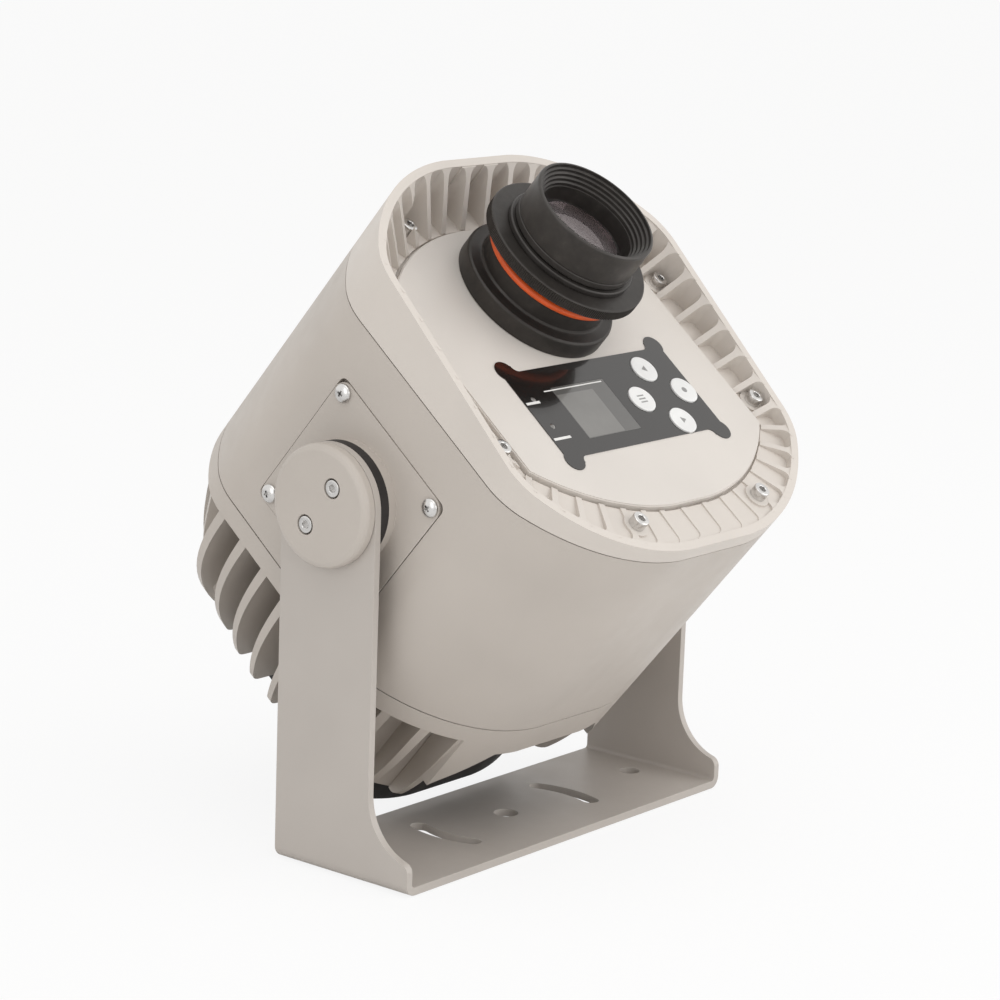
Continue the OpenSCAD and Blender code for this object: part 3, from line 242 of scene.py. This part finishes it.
def coated_glass(name, tint, coat_tint):
    """Lens glass with a warm anti-reflection coating."""
    mat, tree, shader = finish(name, tint, 0.03)
    shader.inputs["Transmission Weight"].default_value = 1.0
    shader.inputs["IOR"].default_value = 1.5
    shader.inputs["Specular Tint"].default_value = (*coat_tint, 1)
    toned(tree, shader, coords(tree), 30, [times(tint, 0.96), tint], detail=2)
    return mat


body_paint = powder_coat("body_paint", (0.53, 0.483, 0.437), 0.42, 900, 0.00012)
yoke_paint = powder_coat("yoke_paint", (0.505, 0.465, 0.428), 0.46, 1300, 0.00010)
bezel_paint = powder_coat("bezel_paint", (0.655, 0.605, 0.555), 0.44, 800, 0.00014)
plate_paint = powder_coat("plate_paint", (0.68, 0.637, 0.592), 0.40, 1100, 0.00009)
lens_black = turned_black("lens_black", (0.030, 0.026, 0.023), 0.42, 320)
lens_black_fine = turned_black("lens_black_fine", (0.036, 0.032, 0.029), 0.36, 520)
steel = bright_steel("steel", (0.72, 0.71, 0.70), 0.22)
steel_dull = bright_steel("steel_dull", (0.42, 0.41, 0.40), 0.36)
black_rubber = rubber("black_rubber", (0.018, 0.015, 0.015), 0.55)
orange_rubber = rubber("orange_rubber", (0.80, 0.115, 0.022), 0.38, 2400)
label_black = gloss("label_black", (0.014, 0.012, 0.011), 0.14, 0.45)
window_grey = gloss("window_grey", (0.10, 0.097, 0.092), 0.16, 0.5)
display_grey = gloss("display_grey", (0.18, 0.175, 0.165), 0.18, 0.5)
print_white = gloss("print_white", (0.80, 0.79, 0.77), 0.35, 0.2)
button_white = moulded("button_white", (0.82, 0.82, 0.81), 0.38, 3000)
symbol_grey = moulded("symbol_grey", (0.30, 0.295, 0.29), 0.5)
light_lens = gloss("light_lens", (0.16, 0.15, 0.14), 0.2, 0.8)
black_plastic = moulded("black_plastic", (0.020, 0.019, 0.019), 0.5)
board_green = moulded("board_green", (0.03, 0.16, 0.07), 0.5)
bare_metal = bright_steel("bare_metal", (0.55, 0.55, 0.54), 0.42)
motor_black = moulded("motor_black", (0.04, 0.04, 0.042), 0.45)
emitter_yellow = gloss("emitter_yellow", (0.80, 0.62, 0.18), 0.3, 0.5)
lens_glass = coated_glass("lens_glass", (0.93, 0.90, 0.92), (1.0, 0.72, 0.72))

node_finish = {
    "friction_washers": black_rubber, "front_gasket": black_rubber, "rear_gasket": black_rubber,
    "front_plate_screws": steel, "lens_base_screws": steel, "rear_lens": lens_glass,
    "display_module": display_grey, "control_board": board_green, "board_screws": steel,
    "fan_frame": black_plastic, "fan_rotor": black_plastic, "optics_plate": bare_metal,
    "optics_posts": bare_metal, "optics_screws": steel, "light_board": bare_metal,
    "light_emitter": emitter_yellow, "condenser_tube": bare_metal, "condenser_lenses": lens_glass,
    "gobo_wheel": bare_metal, "gobo_glasses": lens_glass, "gobo_clips": steel,
    "wheel_motor": motor_black, "motor_screws": steel, "power_supply": bare_metal,
}


def paint(obj, mat):
    obj.data.materials.clear()
    obj.data.materials.append(mat)


for name, mat in node_finish.items():
    paint(nodes[name], mat)

body_of = {n: b for b, members in frame["record"]["behaviour"]["bodies"].items() for n in members}


# Modelling helpers

FLAT_ENOUGH = math.radians(2.0)        # faces this close to one plane are joined


def pick(obj):
    bpy.ops.object.select_all(action="DESELECT")
    obj.select_set(True)
    bpy.context.view_layer.objects.active = obj


def hand_in(obj, name, mat, node=None, body=None):
    """Names, paints and mounts a finished piece."""
    obj.name = name
    obj.data.name = name
    paint(obj, mat)
    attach(obj, body or body_of[node])
    if node:
        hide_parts(node)
    return obj


def seat(obj):
    """Puts a piece that was modelled in the head's own frame in its place."""
    pick(obj)
    obj.matrix_world = HEAD @ obj.matrix_world
    bpy.context.view_layer.update()
    bpy.ops.object.transform_apply(location=True, rotation=True, scale=True)
    return obj


def round_edges(obj, width, segments=2, angle=30, smooth=35):
    """Bevels the edges where a width is given, and smooths the shading but for large faces."""
    pick(obj)
    if width:
        bevel = obj.modifiers.new("edges", "BEVEL")
        bevel.width = width
        bevel.segments = segments
        bevel.limit_method = "ANGLE"
        bevel.angle_limit = math.radians(angle)
        bevel.use_clamp_overlap = True
        bpy.ops.object.modifier_apply(modifier=bevel.name)
    bpy.ops.object.shade_smooth_by_angle(angle=math.radians(smooth))
    flat = obj.modifiers.new("flat", "WEIGHTED_NORMAL")
    flat.keep_sharp = True
    flat.weight = 100
    bpy.ops.object.modifier_apply(modifier=flat.name)
    return obj


def softened(node, mat, width, segments=2, angle=30, smooth=35):
    """The node's own shape with its sharp edges rounded off."""
    pick(nodes[node])
    bpy.ops.object.duplicate()
    obj = bpy.context.view_layer.objects.active
    obj.hide_render = False
    bpy.ops.object.mode_set(mode="EDIT")
    bpy.ops.mesh.select_all(action="SELECT")
    bpy.ops.mesh.remove_doubles(threshold=0.002 * MM)
    bpy.ops.mesh.dissolve_limited(angle_limit=FLAT_ENOUGH, delimit=set())
    bpy.ops.object.mode_set(mode="OBJECT")
    obj.parent = None
    obj.matrix_world = Matrix.Identity(4)
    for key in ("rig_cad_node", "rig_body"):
        if key in obj:
            del obj[key]
    round_edges(obj, width, segments, angle, smooth)
    return hand_in(obj, node + "_piece", mat, node)


def edge_line(points):
    """Draws a profile as a chain of edges, extruded point by point."""
    bpy.ops.object.select_all(action="DESELECT")
    bpy.ops.mesh.primitive_plane_add(size=0.001)
    obj = bpy.context.view_layer.objects.active
    bpy.ops.object.mode_set(mode="EDIT")
    bpy.ops.mesh.select_all(action="SELECT")
    bpy.ops.mesh.merge(type="CENTER")
    x, z = points[0]
    bpy.ops.transform.translate(value=(x * MM, 0, z * MM))
    for px, pz in points[1:]:
        step = ((px - x) * MM, 0, (pz - z) * MM)
        bpy.ops.mesh.extrude_vertices_move(TRANSFORM_OT_translate={"value": step})
        x, z = px, pz
    return obj


def spun(points, steps, closed=True):
    """Turned piece: a profile of radius and height, spun about Z."""
    if closed:
        points = points + [points[0]]
    obj = edge_line(points)
    bpy.ops.mesh.select_all(action="SELECT")
    bpy.ops.mesh.spin(steps=steps, angle=2 * math.pi, center=(0, 0, 0), axis=(0, 0, 1))
    bpy.ops.mesh.select_all(action="SELECT")
    bpy.ops.mesh.remove_doubles(threshold=0.004 * MM)
    bpy.ops.mesh.normals_make_consistent(inside=False)
    bpy.ops.object.mode_set(mode="OBJECT")
    return obj


def on_lens_axis(obj):
    """Puts a piece that was turned about Z on the lens axis."""
    obj.location = (0, LENS_V * MM, 0)
    return seat(obj)


def choose(obj, test):
    """Selects vertices by their place, and stays in edit mode."""
    bpy.ops.object.mode_set(mode="EDIT")
    bpy.ops.mesh.select_all(action="DESELECT")
    bpy.ops.mesh.select_mode(type="VERT")
    mesh = bmesh.from_edit_mesh(obj.data)
    for vertex in mesh.verts:
        if test(vertex):
            vertex.select_set(True)
    mesh.select_flush_mode()
    bmesh.update_edit_mesh(obj.data)


def cut(obj, tool):
    """Takes the tool's shape out of a piece."""
    pick(obj)
    hole = obj.modifiers.new("cut", "BOOLEAN")
    hole.operation = "DIFFERENCE"
    hole.solver = "EXACT"
    hole.object = tool
    bpy.ops.object.modifier_apply(modifier=hole.name)
    bpy.data.objects.remove(tool)
    return obj


def join(parts):
    """Joins pieces to the first one."""
    bpy.ops.object.select_all(action="DESELECT")
    for part in parts:
        part.select_set(True)
    bpy.context.view_layer.objects.active = parts[0]
    if len(parts) > 1:
        bpy.ops.object.join()
    return parts[0]


def copies(model, matrices):
    """One mesh copy for each place, joined to one piece; the model goes."""
    made = []
    for matrix in matrices:
        twin = model.copy()
        twin.data = model.data.copy()
        bpy.context.scene.collection.objects.link(twin)
        twin.matrix_world = matrix
        made.append(twin)
    bpy.data.objects.remove(model)
    bpy.context.view_layer.update()
    obj = join(made)
    pick(obj)
    bpy.ops.object.transform_apply(location=True, rotation=True, scale=True)
    return obj


def at(x, v, a, turn=0.0, flip=False):
    """Place on the head, facing forwards, or backwards where flipped."""
    m = HEAD @ Matrix.Translation((x * MM, v * MM, a * MM)) @ Matrix.Rotation(turn, 4, "Z")
    return m @ Matrix.Rotation(math.pi, 4, "X") if flip else m


def sideways(side, x, v, a):
    """Place on the left or right side of the head, looking outwards."""
    place = HEAD @ Matrix.Translation((side * x * MM, v * MM, a * MM))
    return place @ Matrix.Rotation(side * math.pi / 2, 4, "Y")


# Screws

def socket_head(radius, height, shank, length, key):
    """Socket-head screw: turned head with a chamfer, a hexagon socket and its shank."""
    c = radius * 0.13
    obj = spun([(0, 0), (radius, 0), (radius, height - c * 1.3),
                (radius - c * 0.35, height - c * 0.4), (radius - c * 1.4, height), (0, height)],
               40, closed=False)
    bpy.ops.mesh.primitive_cylinder_add(vertices=6, radius=key * MM, depth=height * MM,
                                        location=(0, 0, height * 0.95 * MM))
    cut(obj, bpy.context.view_layer.objects.active)
    bpy.ops.mesh.primitive_cone_add(vertices=40, radius1=key * 0.9 * MM, radius2=key * 1.22 * MM,
                                    depth=0.5 * MM, location=(0, 0, (height + 0.02) * MM))
    cut(obj, bpy.context.view_layer.objects.active)
    stem = spun([(0, 0.01), (shank, 0.01), (shank, 0.5 - length), (shank - 0.5, -length),
                 (0, -length)], 24, closed=False)
    obj = join([obj, stem])
    round_edges(obj, 0, smooth=28)
    return obj


def pan_head(radius, height, shank, length):
    """Pan-head screw: domed head with a tapered cross recess."""
    dome = [(radius * math.sin(t), height * (0.30 + 0.70 * math.cos(t)))
            for t in [math.radians(88 - 11 * i) for i in range(8)]]
    obj = spun([(0, 0), (radius * 0.97, 0), (radius, 0.15 * height)] + dome + [(0, height)],
               48, closed=False)
    for turn in (0, math.pi / 2):
        bpy.ops.mesh.primitive_cube_add(size=1, location=(0, 0, height * 1.02 * MM))
        blade = bpy.context.view_layer.objects.active
        blade.scale = (radius * 1.12 * MM, radius * 0.24 * MM, height * 1.3 * MM)
        bpy.ops.object.transform_apply(location=True, rotation=True, scale=True)
        choose(blade, lambda v: v.co.z < height * 0.9 * MM)
        bpy.ops.transform.resize(value=(0.34, 0.8, 1))
        bpy.ops.object.mode_set(mode="OBJECT")
        blade.rotation_euler = (0, 0, turn)
        bpy.context.view_layer.update()
        cut(obj, blade)
    stem = spun([(0, 0.01), (shank, 0.01), (shank, -length), (0, -length)], 24, closed=False)
    obj = join([obj, stem])
    round_edges(obj, 0, smooth=30)
    return obj


SIDES = (-1, 1)
BEZEL_FIX = [(101.5, 41.25, 0.3), (49.4, 95.85, 0.9)]        # x, v and the socket's turn
REAR_FIX = [(102.4, 42.13), (102.4, -33.25), (59.0, 97.7), (85.4, -80.3)]

places = [at(sx * x, sv * v, BEZEL_SCREW_Z, t * (1 + sx) + sv)
          for x, v, t in BEZEL_FIX for sx in SIDES for sv in SIDES]
hand_in(copies(socket_head(4.25, 5, 2.5, 25.6, 2.1), places),
        "bezel_screws_piece", steel, "bezel_screws")

places = [sideways(side, CAP_FACE_X, 0, end * 13) @ Matrix.Rotation(0.3 * end, 4, "Z")
          for side in SIDES for end in SIDES]
hand_in(copies(socket_head(4.25, 4, 2.5, 14, 2.1), places), "cap_screws_piece", steel, "cap_screws")

places = [sideways(side, SIDE_FACE_X, sv * SIDE_FIX, sa * SIDE_FIX)
          @ Matrix.Rotation(0.35 + sv + 0.4 * sa, 4, "Z")
          for side in SIDES for sv in SIDES for sa in SIDES]
hand_in(copies(pan_head(4.75, 3, 2.5, 11.6), places),
        "side_plate_screws_piece", steel, "side_plate_screws")

places = [at(side * x, v, SINK_FACE_Z, 0.5 * i, True)
          for i, (x, v) in enumerate(REAR_FIX) for side in SIDES]
hand_in(copies(socket_head(4.25, 5, 2.5, 16.6, 2.1), places),
        "heat_sink_screws_piece", steel, "heat_sink_screws")

places = [at(sx * FAN_FIX, FAN_V + sv * FAN_FIX, GUARD_Z, 0.4 * sx + sv, True)
          for sx in SIDES for sv in SIDES]
hand_in(copies(pan_head(3.6, 2.2, 2, 32), places), "fan_screws_piece", steel, "fan_screws")


# Castings, plates and the bracket: the node's own shape with rounded edges

softened("yoke_bracket", yoke_paint, 0.0005, 2)
for side in ("left", "right"):
    softened("side_plate_" + side, body_paint, 0.0005, 2)
for side in ("left", "right"):
    softened("cap_" + side, body_paint, 0.0008, 3, angle=20)
for name, mat, width in (("body_shell", body_paint, 0.0004), ("front_bezel", bezel_paint, 0.0007),
                         ("front_plate", plate_paint, 0.0004), ("heat_sink", body_paint, 0.0005),
                         ("cowl", black_plastic, 0.0006), ("cable_gland", black_plastic, 0.0004),
                         ("pressure_vent", black_plastic, 0.0004)):
    softened(name, mat, width, 2)
softened("fan_guard", steel_dull, 0.0, 1)
softened("control_label", label_black, 0.0, 1, smooth=5)


# Lens: turned pieces on the lens axis

flange, neck = 42.0, 34.5
base = [(26.05, 67.6), (29, 67.6), (29, PLATE_Z), (flange - 0.4, PLATE_Z), (flange, PLATE_Z + 0.4),
        (flange, 88.6), (flange - 0.35, 89.4), (flange - 1.3, 90.1), (neck + 1.9, 90.1),
        (neck + 0.6, 90.6), (neck, 91.7), (neck, 100.1), (neck - 0.5, 100.6), (neck - 1.5, 100.6),
        (neck - 1.5, 104.6), (neck + 1.1, 104.6), (neck + 1.5, 105.0), (neck + 1.5, 108.4),
        (neck + 1.1, 108.8), (29, 108.8), (29, 118.6), (26.05, 118.6)]
piece = on_lens_axis(spun(base, 180))
round_edges(piece, 0.00015, 2, 25)
hand_in(piece, "lens_base_piece", lens_black, "lens_base")

RING_R, RING_Z, RING_WIRE = 35.05, 102.6, 1.98
ring = [(RING_R + RING_WIRE * math.cos(t), RING_Z + RING_WIRE * math.sin(t))
        for t in [math.radians(i * 15) for i in range(24)]]
piece = on_lens_axis(spun(ring, 180))
round_edges(piece, 0)
hand_in(piece, "o_ring_piece", orange_rubber, "o_ring")

# Focus ring: every other line of its rim is drawn in for the knurl
GROOVES = 240
GRIP_R = 43.95
piece = spun([(29.05, 109.0), (42.8, 109.0), (43.5, 109.25), (43.9, 109.7), (GRIP_R, 110.2),
              (GRIP_R, 114.4), (43.9, 114.9), (43.5, 115.35), (42.8, 115.6), (29.05, 115.6)],
             GROOVES * 2)
choose(piece, lambda v: abs(math.hypot(v.co.x, v.co.y) - GRIP_R * MM) < 0.04 * MM
       and round(math.atan2(v.co.y, v.co.x) / (2 * math.pi) * GROOVES * 2) % 2 == 0)
bpy.ops.transform.resize(value=(0.9905, 0.9905, 1))
bpy.ops.object.mode_set(mode="OBJECT")
piece = on_lens_axis(piece)
round_edges(piece, 0, smooth=25)
hand_in(piece, "focus_ring_piece", lens_black, "focus_ring")

softened("split_collar", lens_black_fine, 0.0003, 2)

RIM_R, RIM_Z, STAIR_IN, STAIR_DOWN = 31.2, 140.6, 1.24, 1.9
stairs = []
for k in range(5):
    r, z = RIM_R - k * STAIR_IN, RIM_Z - k * STAIR_DOWN
    stairs += [(r, z - (0.2 if k else 0)), (r - 0.12, z - 1.75)]
barrel = ([(19.0, 70.1), (25.6, 70.1), (26, 70.5), (26, 118.9), (32.4, 118.9), (33, 119.5),
           (33, 122.2), (32.75, 122.4), (32.75, 123.0), (33, 123.2), (33, 139.4), (32.7, 140.2),
           (32.0, RIM_Z)] + stairs
          + [(25.4, 131.2), (25.0, 128.6), (25.0, 121.4), (22, 121.4), (22, 73.1), (19, 73.1)])
piece = on_lens_axis(spun(barrel, 180))
round_edges(piece, 0.00012, 2, 25)
hand_in(piece, "lens_barrel_piece", lens_black_fine, "lens_barrel")

GLASS_R, GLASS_TOP, GLASS_SEAT, GLASS_CURVE = 24.9, 128.6, 121.4, 60
across = [GLASS_R * i / 12 for i in range(13)]
dome = [(r, GLASS_TOP - (GLASS_CURVE - math.sqrt(GLASS_CURVE ** 2 - r ** 2))) for r in across]
piece = on_lens_axis(spun(dome + [(GLASS_R, GLASS_SEAT), (0, GLASS_SEAT)], 128, closed=False))
round_edges(piece, 0, smooth=40)
hand_in(piece, "front_lens_piece", lens_glass, "front_lens")


# Control panel

def plain_sheet(name, mat, x0, v0, x1, v1, a0, a1, node=None, edge=0.0):
    """Thin rectangle on the front plate, between two corners and two heights."""
    middle = ((x0 + x1) / 2 * MM, (v0 + v1) / 2 * MM, (a0 + a1) / 2 * MM)
    bpy.ops.object.select_all(action="DESELECT")
    bpy.ops.mesh.primitive_cube_add(size=1, location=middle)
    obj = bpy.context.view_layer.objects.active
    obj.scale = ((x1 - x0) * MM, (v1 - v0) * MM, (a1 - a0) * MM)
    bpy.ops.object.transform_apply(location=True, rotation=True, scale=True)
    seat(obj)
    round_edges(obj, edge, 2)
    return hand_in(obj, name, mat, node, "head")


PRINT_FOOT, PRINT_Z = 80.49, 80.53     # the prints start a little inside the film
plain_sheet("display_window_piece", window_grey, -37.9, -44.9, 2.9, -12.1, PLATE_Z, LABEL_Z,
            "display_window", edge=0.00008)
plain_sheet("display_area", display_grey, -37.4, -44.4, -9.5, -17.0, PRINT_FOOT, 80.515)
plain_sheet("display_line", print_white, -44.0, -14.0, 0.8, -13.3, PRINT_FOOT, PRINT_Z)
for name, x1, v in (("caption_bar_upper", -52, -19.0), ("caption_bar_lower", -49.5, -41.6)):
    plain_sheet(name, print_white, -62, v - 0.75, x1, v + 0.75, PRINT_FOOT, PRINT_Z)

lights = []
for x, v in ((-55, -17), (-56, -34)):
    bead = spun([(0, 68.0), (1.5, 68.0), (1.5, 80.35), (1.2, 80.62), (0.6, 80.74), (0, 80.76)],
                32, closed=False)
    bead.location = (x * MM, v * MM, 0)
    lights.append(seat(bead))
piece = join(lights)
round_edges(piece, 0, smooth=40)
hand_in(piece, "indicator_lights_piece", light_lens, "indicator_lights")

BUTTONS = {"button_up": (37.6, -11.4), "button_enter": (54.4, -28.2), "button_menu": (19, -28.7),
           "button_down": (36.2, -45.5)}
BUTTON = [(0, 72.0), (2, 72.0), (2, 74.4), (9, 74.4), (9, 75.4), (8, 75.4), (8, 80.9),
          (7.86, 81.15), (7.55, 81.27), (6.8, 81.3), (5.5, 81.22), (0, 81.16)]
MARK_Z, MARK_T = 81.175, 0.05
BAR = (5.2 * MM, 0.8 * MM, MARK_T * MM)

# Marks in the buttons' middles: offset, sides, radius and turn. A radius of 0 makes a bar.
SYMBOLS = {
    "button_up": [(0, 0, 3, 2.3, math.pi / 2)],
    "button_down": [(0, 0, 3, 2.3, -math.pi / 2)],
    "button_enter": [(0, 0, 24, 1.7, 0)],
    "button_menu": [(0, 2.0, 4, 0, 0), (0, 0, 4, 0, 0), (0, -2.0, 4, 0, 0)],
}
for name, (x, v) in BUTTONS.items():
    cap = spun(BUTTON, 96, closed=False)
    cap.location = (x * MM, v * MM, 0)
    seat(cap)
    round_edges(cap, 0, smooth=35)
    hand_in(cap, name + "_piece", button_white, name)
    marks = []
    for dx, dv, sides, radius, turn in SYMBOLS[name]:
        middle = ((x + dx) * MM, (v + dv) * MM, MARK_Z * MM)
        bpy.ops.object.select_all(action="DESELECT")
        if radius:
            bpy.ops.mesh.primitive_cylinder_add(vertices=sides, radius=radius * MM, depth=MARK_T * MM,
                                                location=middle, rotation=(0, 0, turn))
        else:
            bpy.ops.mesh.primitive_cube_add(size=1, location=middle)
            bpy.context.view_layer.objects.active.scale = BAR
        marks.append(bpy.context.view_layer.objects.active)
    for mark in marks:
        pick(mark)
        bpy.ops.object.transform_apply(location=True, rotation=True, scale=True)
    marks = seat(join(marks))
    round_edges(marks, 0.00001, 1)
    hand_in(marks, name + "_symbol", symbol_grey, body=body_of[name])


# Floor, light and camera

FLOOR_SEEN = 0.86                      # how far the camera sees the floor as plain white
AMBIENT = 0.74                         # the world's light on the object

bpy.ops.object.select_all(action="DESELECT")
bpy.ops.mesh.primitive_plane_add(size=60, location=(0, 0, -0.0004))
floor = bpy.context.view_layer.objects.active
floor.name = "floor"
mat, tree, shader = finish("studio_floor", (0.86, 0.86, 0.86), 0.9)
path = tree.nodes.new("ShaderNodeLightPath")
glow = tree.nodes.new("ShaderNodeEmission")
glow.inputs["Color"].default_value = (1, 1, 1, 1)
mix = tree.nodes.new("ShaderNodeMixShader")
seen = tree.nodes.new("ShaderNodeMath")
seen.operation = "MULTIPLY"
seen.inputs[1].default_value = FLOOR_SEEN
link(tree, path.outputs["Is Camera Ray"], seen.inputs[0])
link(tree, seen.outputs["Value"], mix.inputs["Fac"])
link(tree, shader.outputs["BSDF"], mix.inputs[1])
link(tree, glow.outputs["Emission"], mix.inputs[2])
link(tree, mix.outputs["Shader"], tree.nodes["Material Output"].inputs["Surface"])
paint(floor, mat)

# White where the camera, a mirror or a lens sees the world
world = bpy.data.worlds.new("studio")
bpy.context.scene.world = world
world.use_nodes = True
tree = world.node_tree
back = tree.nodes["Background"]
back.inputs["Color"].default_value = (1.0, 0.99, 0.975, 1)
path = tree.nodes.new("ShaderNodeLightPath")
direct = path.outputs["Is Camera Ray"]
for ray in ("Is Transmission Ray", "Is Glossy Ray"):
    either = tree.nodes.new("ShaderNodeMath")
    either.operation = "MAXIMUM"
    link(tree, direct, either.inputs[0])
    link(tree, path.outputs[ray], either.inputs[1])
    direct = either.outputs["Value"]
level = tree.nodes.new("ShaderNodeMapRange")
level.inputs["To Min"].default_value = AMBIENT
level.inputs["To Max"].default_value = 1.0
link(tree, direct, level.inputs["Value"])
link(tree, level.outputs["Result"], back.inputs["Strength"])

AIM = Vector((0, 0, 0.16))


def softbox(name, place, power, width, height):
    """Rectangular lamp that looks at the machine."""
    lamp = bpy.data.lights.new(name, "AREA")
    lamp.shape = "RECTANGLE"
    lamp.size = width
    lamp.size_y = height
    lamp.energy = power
    obj = bpy.data.objects.new(name, lamp)
    bpy.context.scene.collection.objects.link(obj)
    obj.location = place
    obj.rotation_euler = (AIM - Vector(place)).to_track_quat("-Z", "Y").to_euler()
    return obj


softbox("overhead", (-0.2, -0.5, 1.7), 5.5, 1.8, 1.4)
softbox("front_right", (1.1, -1.3, 0.8), 6.5, 1.2, 1.2)
softbox("left", (-1.7, -0.1, 0.7), 3.4, 0.9, 1.3)
softbox("low_front", (-0.1, -1.2, 0.45), 1.6, 0.8, 0.5)

# Camera, as fitted to the photograph's outlines: a focal length in pixels of the 1000-pixel frame
FOCAL_PX, FRAME_PX, SENSOR = 3143.39, 1000, 36.0
camera = bpy.data.cameras.new("camera")
camera.sensor_fit = "HORIZONTAL"
camera.sensor_width = SENSOR
camera.lens = FOCAL_PX / FRAME_PX * SENSOR
camera.clip_start = 0.05
camera.clip_end = 50
obj = bpy.data.objects.new("camera", camera)
bpy.context.scene.collection.objects.link(obj)
azimuth, roll = math.radians(51.04), math.radians(2.04)
ahead = Vector((0.76029525, 0.61469384, -0.21000624)).normalized()
right = Vector((math.cos(azimuth), -math.sin(azimuth), 0))
upward = right.cross(ahead)
side = math.cos(roll) * right + math.sin(roll) * upward
upper = -math.sin(roll) * right + math.cos(roll) * upward
stand = Vector((-1.20545, -0.96339, 0.49929))
obj.matrix_world = Matrix(((side.x, upper.x, -ahead.x, stand.x),
                           (side.y, upper.y, -ahead.y, stand.y),
                           (side.z, upper.z, -ahead.z, stand.z), (0, 0, 0, 1)))
bpy.context.scene.camera = obj
bpy.context.scene.view_settings.view_transform = "Standard"
